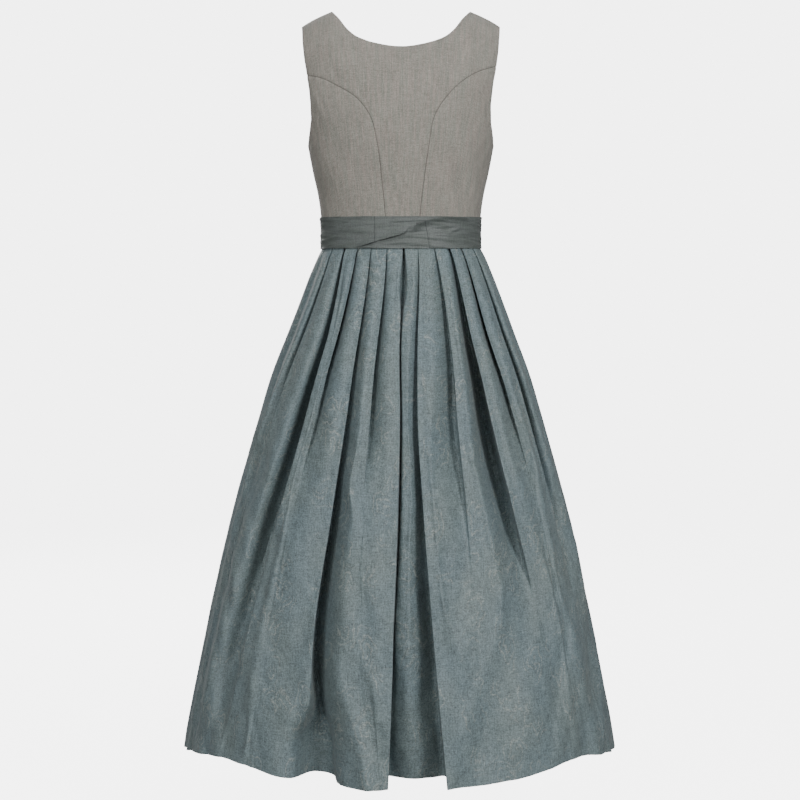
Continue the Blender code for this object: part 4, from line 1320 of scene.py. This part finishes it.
class Nodes:
    """Short hand for building a material's nodes."""

    def __init__(self, name):
        self.material = bpy.data.materials.new(name)
        self.material.use_nodes = True
        self.tree = self.material.node_tree
        self.shader = self.tree.nodes["Principled BSDF"]

    def put(self, node, values):
        """Link a node's inputs to other nodes' outputs, or set them to values."""
        for key, value in values.items():
            target = node.inputs[key]
            if isinstance(value, bpy.types.NodeSocket):
                self.tree.links.new(value, target)
            else:
                target.default_value = (*value, 1.0) if target.type == "RGBA" else value

    def add(self, kind, values, **settings):
        node = self.tree.nodes.new(kind)
        for key, value in settings.items():
            setattr(node, key, value)
        self.put(node, values)
        return node

    def vector_math(self, operation, values):
        return self.add("ShaderNodeVectorMath", values, operation=operation).outputs[0]

    def math(self, operation, first, second=0.0):
        return self.add("ShaderNodeMath", {0: first, 1: second}, operation=operation).outputs[0]

    def parts(self, vector):
        return self.add("ShaderNodeSeparateXYZ", {0: vector}).outputs

    def woven(self, yarns, solid=False):
        """The places on the flat cloth and the unevenness of each yarn there. Where solid,
        the weave also goes on behind the cloth's face, along walls of folds."""
        cloth = self.add("ShaderNodeAttribute", {}, attribute_name="cloth").outputs["Vector"]
        made = {}
        for name, yarn in yarns.items():
            scale = (yarn.across, yarn.up, yarn.across if solid else 0.0)
            made[name] = self.add("ShaderNodeTexNoise", {
                "Vector": self.vector_math("MULTIPLY", {0: cloth, 1: scale}),
                "Scale": 1.0, "Detail": yarn.detail, "Roughness": yarn.roughness,
            }).outputs["Fac"]
        return cloth, made

    def ramp(self, value, low, high, start=0.0, end=1.0):
        """A soft change from low to high, as the value goes from start to end."""
        values = {"Value": value, "From Min": start, "From Max": end, "To Min": low, "To Max": high}
        settings = {"clamp": True, "interpolation_type": "SMOOTHSTEP"}
        return self.add("ShaderNodeMapRange", values, **settings).outputs["Result"]

    def mix(self, share, first, second):
        node = self.add("ShaderNodeMix", {}, data_type="RGBA")
        self.put(node, {0: share, 6: first, 7: second})
        return node.outputs[2]

    def shade(self, colour, value):
        """The colour made lighter or darker by a factor."""
        return self.vector_math("SCALE", {0: colour, "Scale": value})

    def tone(self, yarns, tones):
        """How much lighter or darker the yarns make the cloth, as a factor."""
        total = 1.0
        for row in tones:
            change = self.ramp(yarns[row.yarn], row.low, row.high, row.start, row.end)
            total = self.math("ADD", change, total)
        return total

    def seam(self, cloth, line):
        """How much darker the cloth is painted by a seam or beneath a crossing end, as a factor:
        painted shade.
        """
        return self.ramp(self.parts(cloth)["Z"], line.tone, 1.0, line.start, line.end)

    def threads(self, upright, crosswise):
        upright = self.math("MULTIPLY", upright, UPRIGHT_SHARE)
        return self.math("ADD", upright, self.math("MULTIPLY", crosswise, CROSSWISE_SHARE))

    def bump(self, height, raised, below=None):
        values = {"Height": height, "Distance": raised.height, "Strength": raised.strength}
        if below is not None:
            values["Normal"] = below
        return self.add("ShaderNodeBump", values).outputs["Normal"]

    def finished(self, finish, colour, roughness, normal):
        self.put(self.shader, {
            "Base Color": colour, "Roughness": roughness, "Normal": normal,
            "Specular IOR Level": finish.specular, "Sheen Weight": finish.sheen,
            "Sheen Roughness": finish.sheen_roughness,
        })
        return self.material


def linen_material():
    """Undyed linen: fine upright streaks of greener and pinker yarn, and slubs."""
    n = Nodes("linen")
    cloth, yarns = n.woven(LINEN_YARNS)
    colour = n.mix(n.ramp(yarns["tints"], 0.0, 1.0, *LINEN_TINTS), LINEN_GREEN, LINEN_PINK)
    # Painted shade darkens the linen along its seams and darts
    colour = n.shade(n.shade(colour, n.tone(yarns, LINEN_TONES)), n.seam(cloth, LINEN_PAINTED_SHADE))
    roughness = n.ramp(yarns["warp"], *LINEN_FINISH.roughness, *EVEN)
    normal = n.bump(n.threads(yarns["warp"], yarns["weft"]), LINEN_THREADS)
    return n.finished(LINEN_FINISH, colour, roughness, normal)


def scroll_lines(n, cloth):
    """Faint curled lines, one small curl in each cell of an uneven grid."""
    size = (1.0 / SCROLL_SIZE, SCROLL_HEIGHT_SHARE / SCROLL_SIZE, 0.0)
    place = n.vector_math("MULTIPLY", {0: cloth, 1: size})
    bend = n.add("ShaderNodeTexNoise", {"Vector": place, "Scale": SCROLL_BEND_SCALE, "Detail": 2.0})
    bends = {0: bend.outputs["Color"], 1: (SCROLL_BEND, SCROLL_BEND, 0.0), 2: place}
    bent = n.vector_math("MULTIPLY_ADD", bends)
    cells = n.add("ShaderNodeTexVoronoi", {}, voronoi_dimensions="2D", feature="F1")
    n.put(cells, {"Vector": bent, "Scale": 1.0})
    away = n.parts(n.vector_math("SUBTRACT", {0: bent, 1: cells.outputs["Position"]}))
    distance = cells.outputs["Distance"]
    turn = n.math("ARCTAN2", away["Y"], away["X"])
    spiral = n.math("ADD", n.math("MULTIPLY", distance, SCROLL_TURNS), turn)
    lines = n.ramp(n.math("ABSOLUTE", n.math("SINE", spiral)), 1.0, 0.0, *SCROLL_LINE)
    return n.math("MULTIPLY", lines, n.ramp(distance, 1.0, 0.0, *SCROLL_REACH))


def skirt_material():
    """Blue-grey cloth with a grainy weave, woven with faint scrolls of a paler yarn."""
    n = Nodes("skirt_cloth")
    cloth, yarns = n.woven(SKIRT_YARNS, solid=True)
    patches = n.ramp(yarns["patches"], 0.0, 1.0, *SCROLL_PATCHES)
    worn = n.ramp(yarns["grain"], SCROLL_WORN, 1.0, *SCROLL_WORN_SPAN)
    scrolls = n.math("MULTIPLY", n.math("MULTIPLY", scroll_lines(n, cloth), patches), worn)
    colour = n.mix(n.ramp(yarns["clouds"], 0.0, 1.0, *EVEN), SKIRT_BLUE, SKIRT_GREEN)
    colour = n.mix(n.math("MULTIPLY", scrolls, SCROLL_STRENGTH), colour, SKIRT_PALE)
    colour = n.shade(colour, n.tone(yarns, SKIRT_TONES))
    normal = n.bump(yarns["crumple"], SKIRT_CRUMPLE)
    normal = n.bump(scrolls, SKIRT_SCROLLS, normal)
    normal = n.bump(n.threads(yarns["grain"], yarns["weft"]), SKIRT_THREADS, normal)
    roughness = n.ramp(scrolls, *SKIRT_FINISH.roughness)
    return n.finished(SKIRT_FINISH, colour, roughness, normal)


def sash_material():
    """Dark grey-green silky cloth with fine lengthwise lines."""
    n = Nodes("sash_cloth")
    cloth, yarns = n.woven(SASH_YARNS)
    colour = n.mix(n.ramp(yarns["clouds"], 0.0, 1.0, *EVEN), SASH_GREEN, SASH_GREY)
    # Painted shade darkens the sash along its joints and where the other end lies over it
    colour = n.shade(n.shade(colour, n.tone(yarns, SASH_TONES)), n.seam(cloth, SASH_PAINTED_SHADE))
    roughness = n.ramp(yarns["along"], *SASH_FINISH.roughness, *EVEN)
    normal = n.bump(yarns["along"], SASH_THREADS)
    return n.finished(SASH_FINISH, colour, roughness, normal)


# Studio


def camera():
    data = bpy.data.cameras.new("camera")
    data.lens = LENS_MM
    data.sensor_width = SENSOR_MM
    data.clip_end = CAMERA_REACH
    made = add_object("camera", data)
    made.location = CAMERA_PLACE
    made.rotation_euler = (math.pi / 2 + CAMERA_TILT, 0.0, 0.0)
    bpy.context.scene.camera = made


def wall_profile():
    """(radius, height) from the middle of the floor out to the wall and up it."""
    profile = [(0.0, 0.0), (WALL_DISTANCE - WALL_CURVE, 0.0)]
    for turn in np.linspace(0.0, math.pi / 2, WALL_CURVE_STEPS + 1)[1:]:
        profile.append((WALL_DISTANCE - WALL_CURVE * (1 - math.sin(turn)),
                        WALL_CURVE * (1 - math.cos(turn))))
    return profile + [(WALL_DISTANCE, WALL_HEIGHT)]


def backdrop():
    """A pale floor that curves up into a pale wall all round. It glows for the camera
    alone and throws no light back on the cloth."""
    n = Nodes("studio_pale")
    n.put(n.shader, {
        "Base Color": PALE, "Roughness": FLOOR_ROUGHNESS, "Specular IOR Level": 0.0,
        "Emission Color": WHITE, "Emission Strength": FLOOR_GLOW,
    })
    profile = wall_profile()
    points = []
    for radius, height in profile:
        for turn in np.arange(WALL_SIDES) * 2 * math.pi / WALL_SIDES:
            points.append((radius * math.cos(turn), radius * math.sin(turn), FLOOR_Z + height))
    faces = []
    for low in range(0, (len(profile) - 1) * WALL_SIDES, WALL_SIDES):
        high = low + WALL_SIDES
        for k in range(WALL_SIDES):
            after = (k + 1) % WALL_SIDES
            faces.append((low + k, high + k, high + after, low + after))
    mesh = bpy.data.meshes.new("studio_floor")
    mesh.from_pydata(points, [], faces)
    mesh.shade_smooth()
    mesh.materials.append(n.material)
    floor = add_object("studio_floor", mesh)
    floor.visible_diffuse = False
    floor.visible_glossy = False
    floor.visible_shadow = False


def sky():
    world = bpy.data.worlds.new("studio_world")
    world.use_nodes = True
    background = world.node_tree.nodes["Background"]
    background.inputs["Color"].default_value = (*WHITE, 1.0)
    background.inputs["Strength"].default_value = SKY_LIGHT
    bpy.context.scene.world = world


def area_light(light):
    data = bpy.data.lights.new(light.name, "AREA")
    data.shape = "DISK"
    data.size = light.size
    data.energy = light.power
    made = add_object(light.name, data)
    made.location = light.place
    x, y, z = np.subtract(light.target, light.place)
    made.rotation_euler = (math.atan2(math.hypot(x, y), -z), 0.0, math.atan2(y, x) - math.pi / 2)


def main():
    camera()
    backdrop()
    sky()
    for light in LIGHTS:
        area_light(light)
    linen = linen_material()
    centre_back(linen)
    side_back("back_left_cloth", LEFT_BACK_SEAM, LEFT_SEAM_START_Z, -1, linen)
    side_back("back_right_cloth", RIGHT_BACK_SEAM, RIGHT_SEAM_START_Z, 1, linen)
    front("front_left_cloth", -1, linen)
    front("front_right_cloth", 1, linen)
    sash(sash_material())
    skirt_cloth = skirt_material()
    skirt_half("skirt_back_cloth", BACK_FOLDS, False, skirt_cloth)
    skirt_half("skirt_front_cloth", FRONT_FOLDS, True, skirt_cloth)


main()
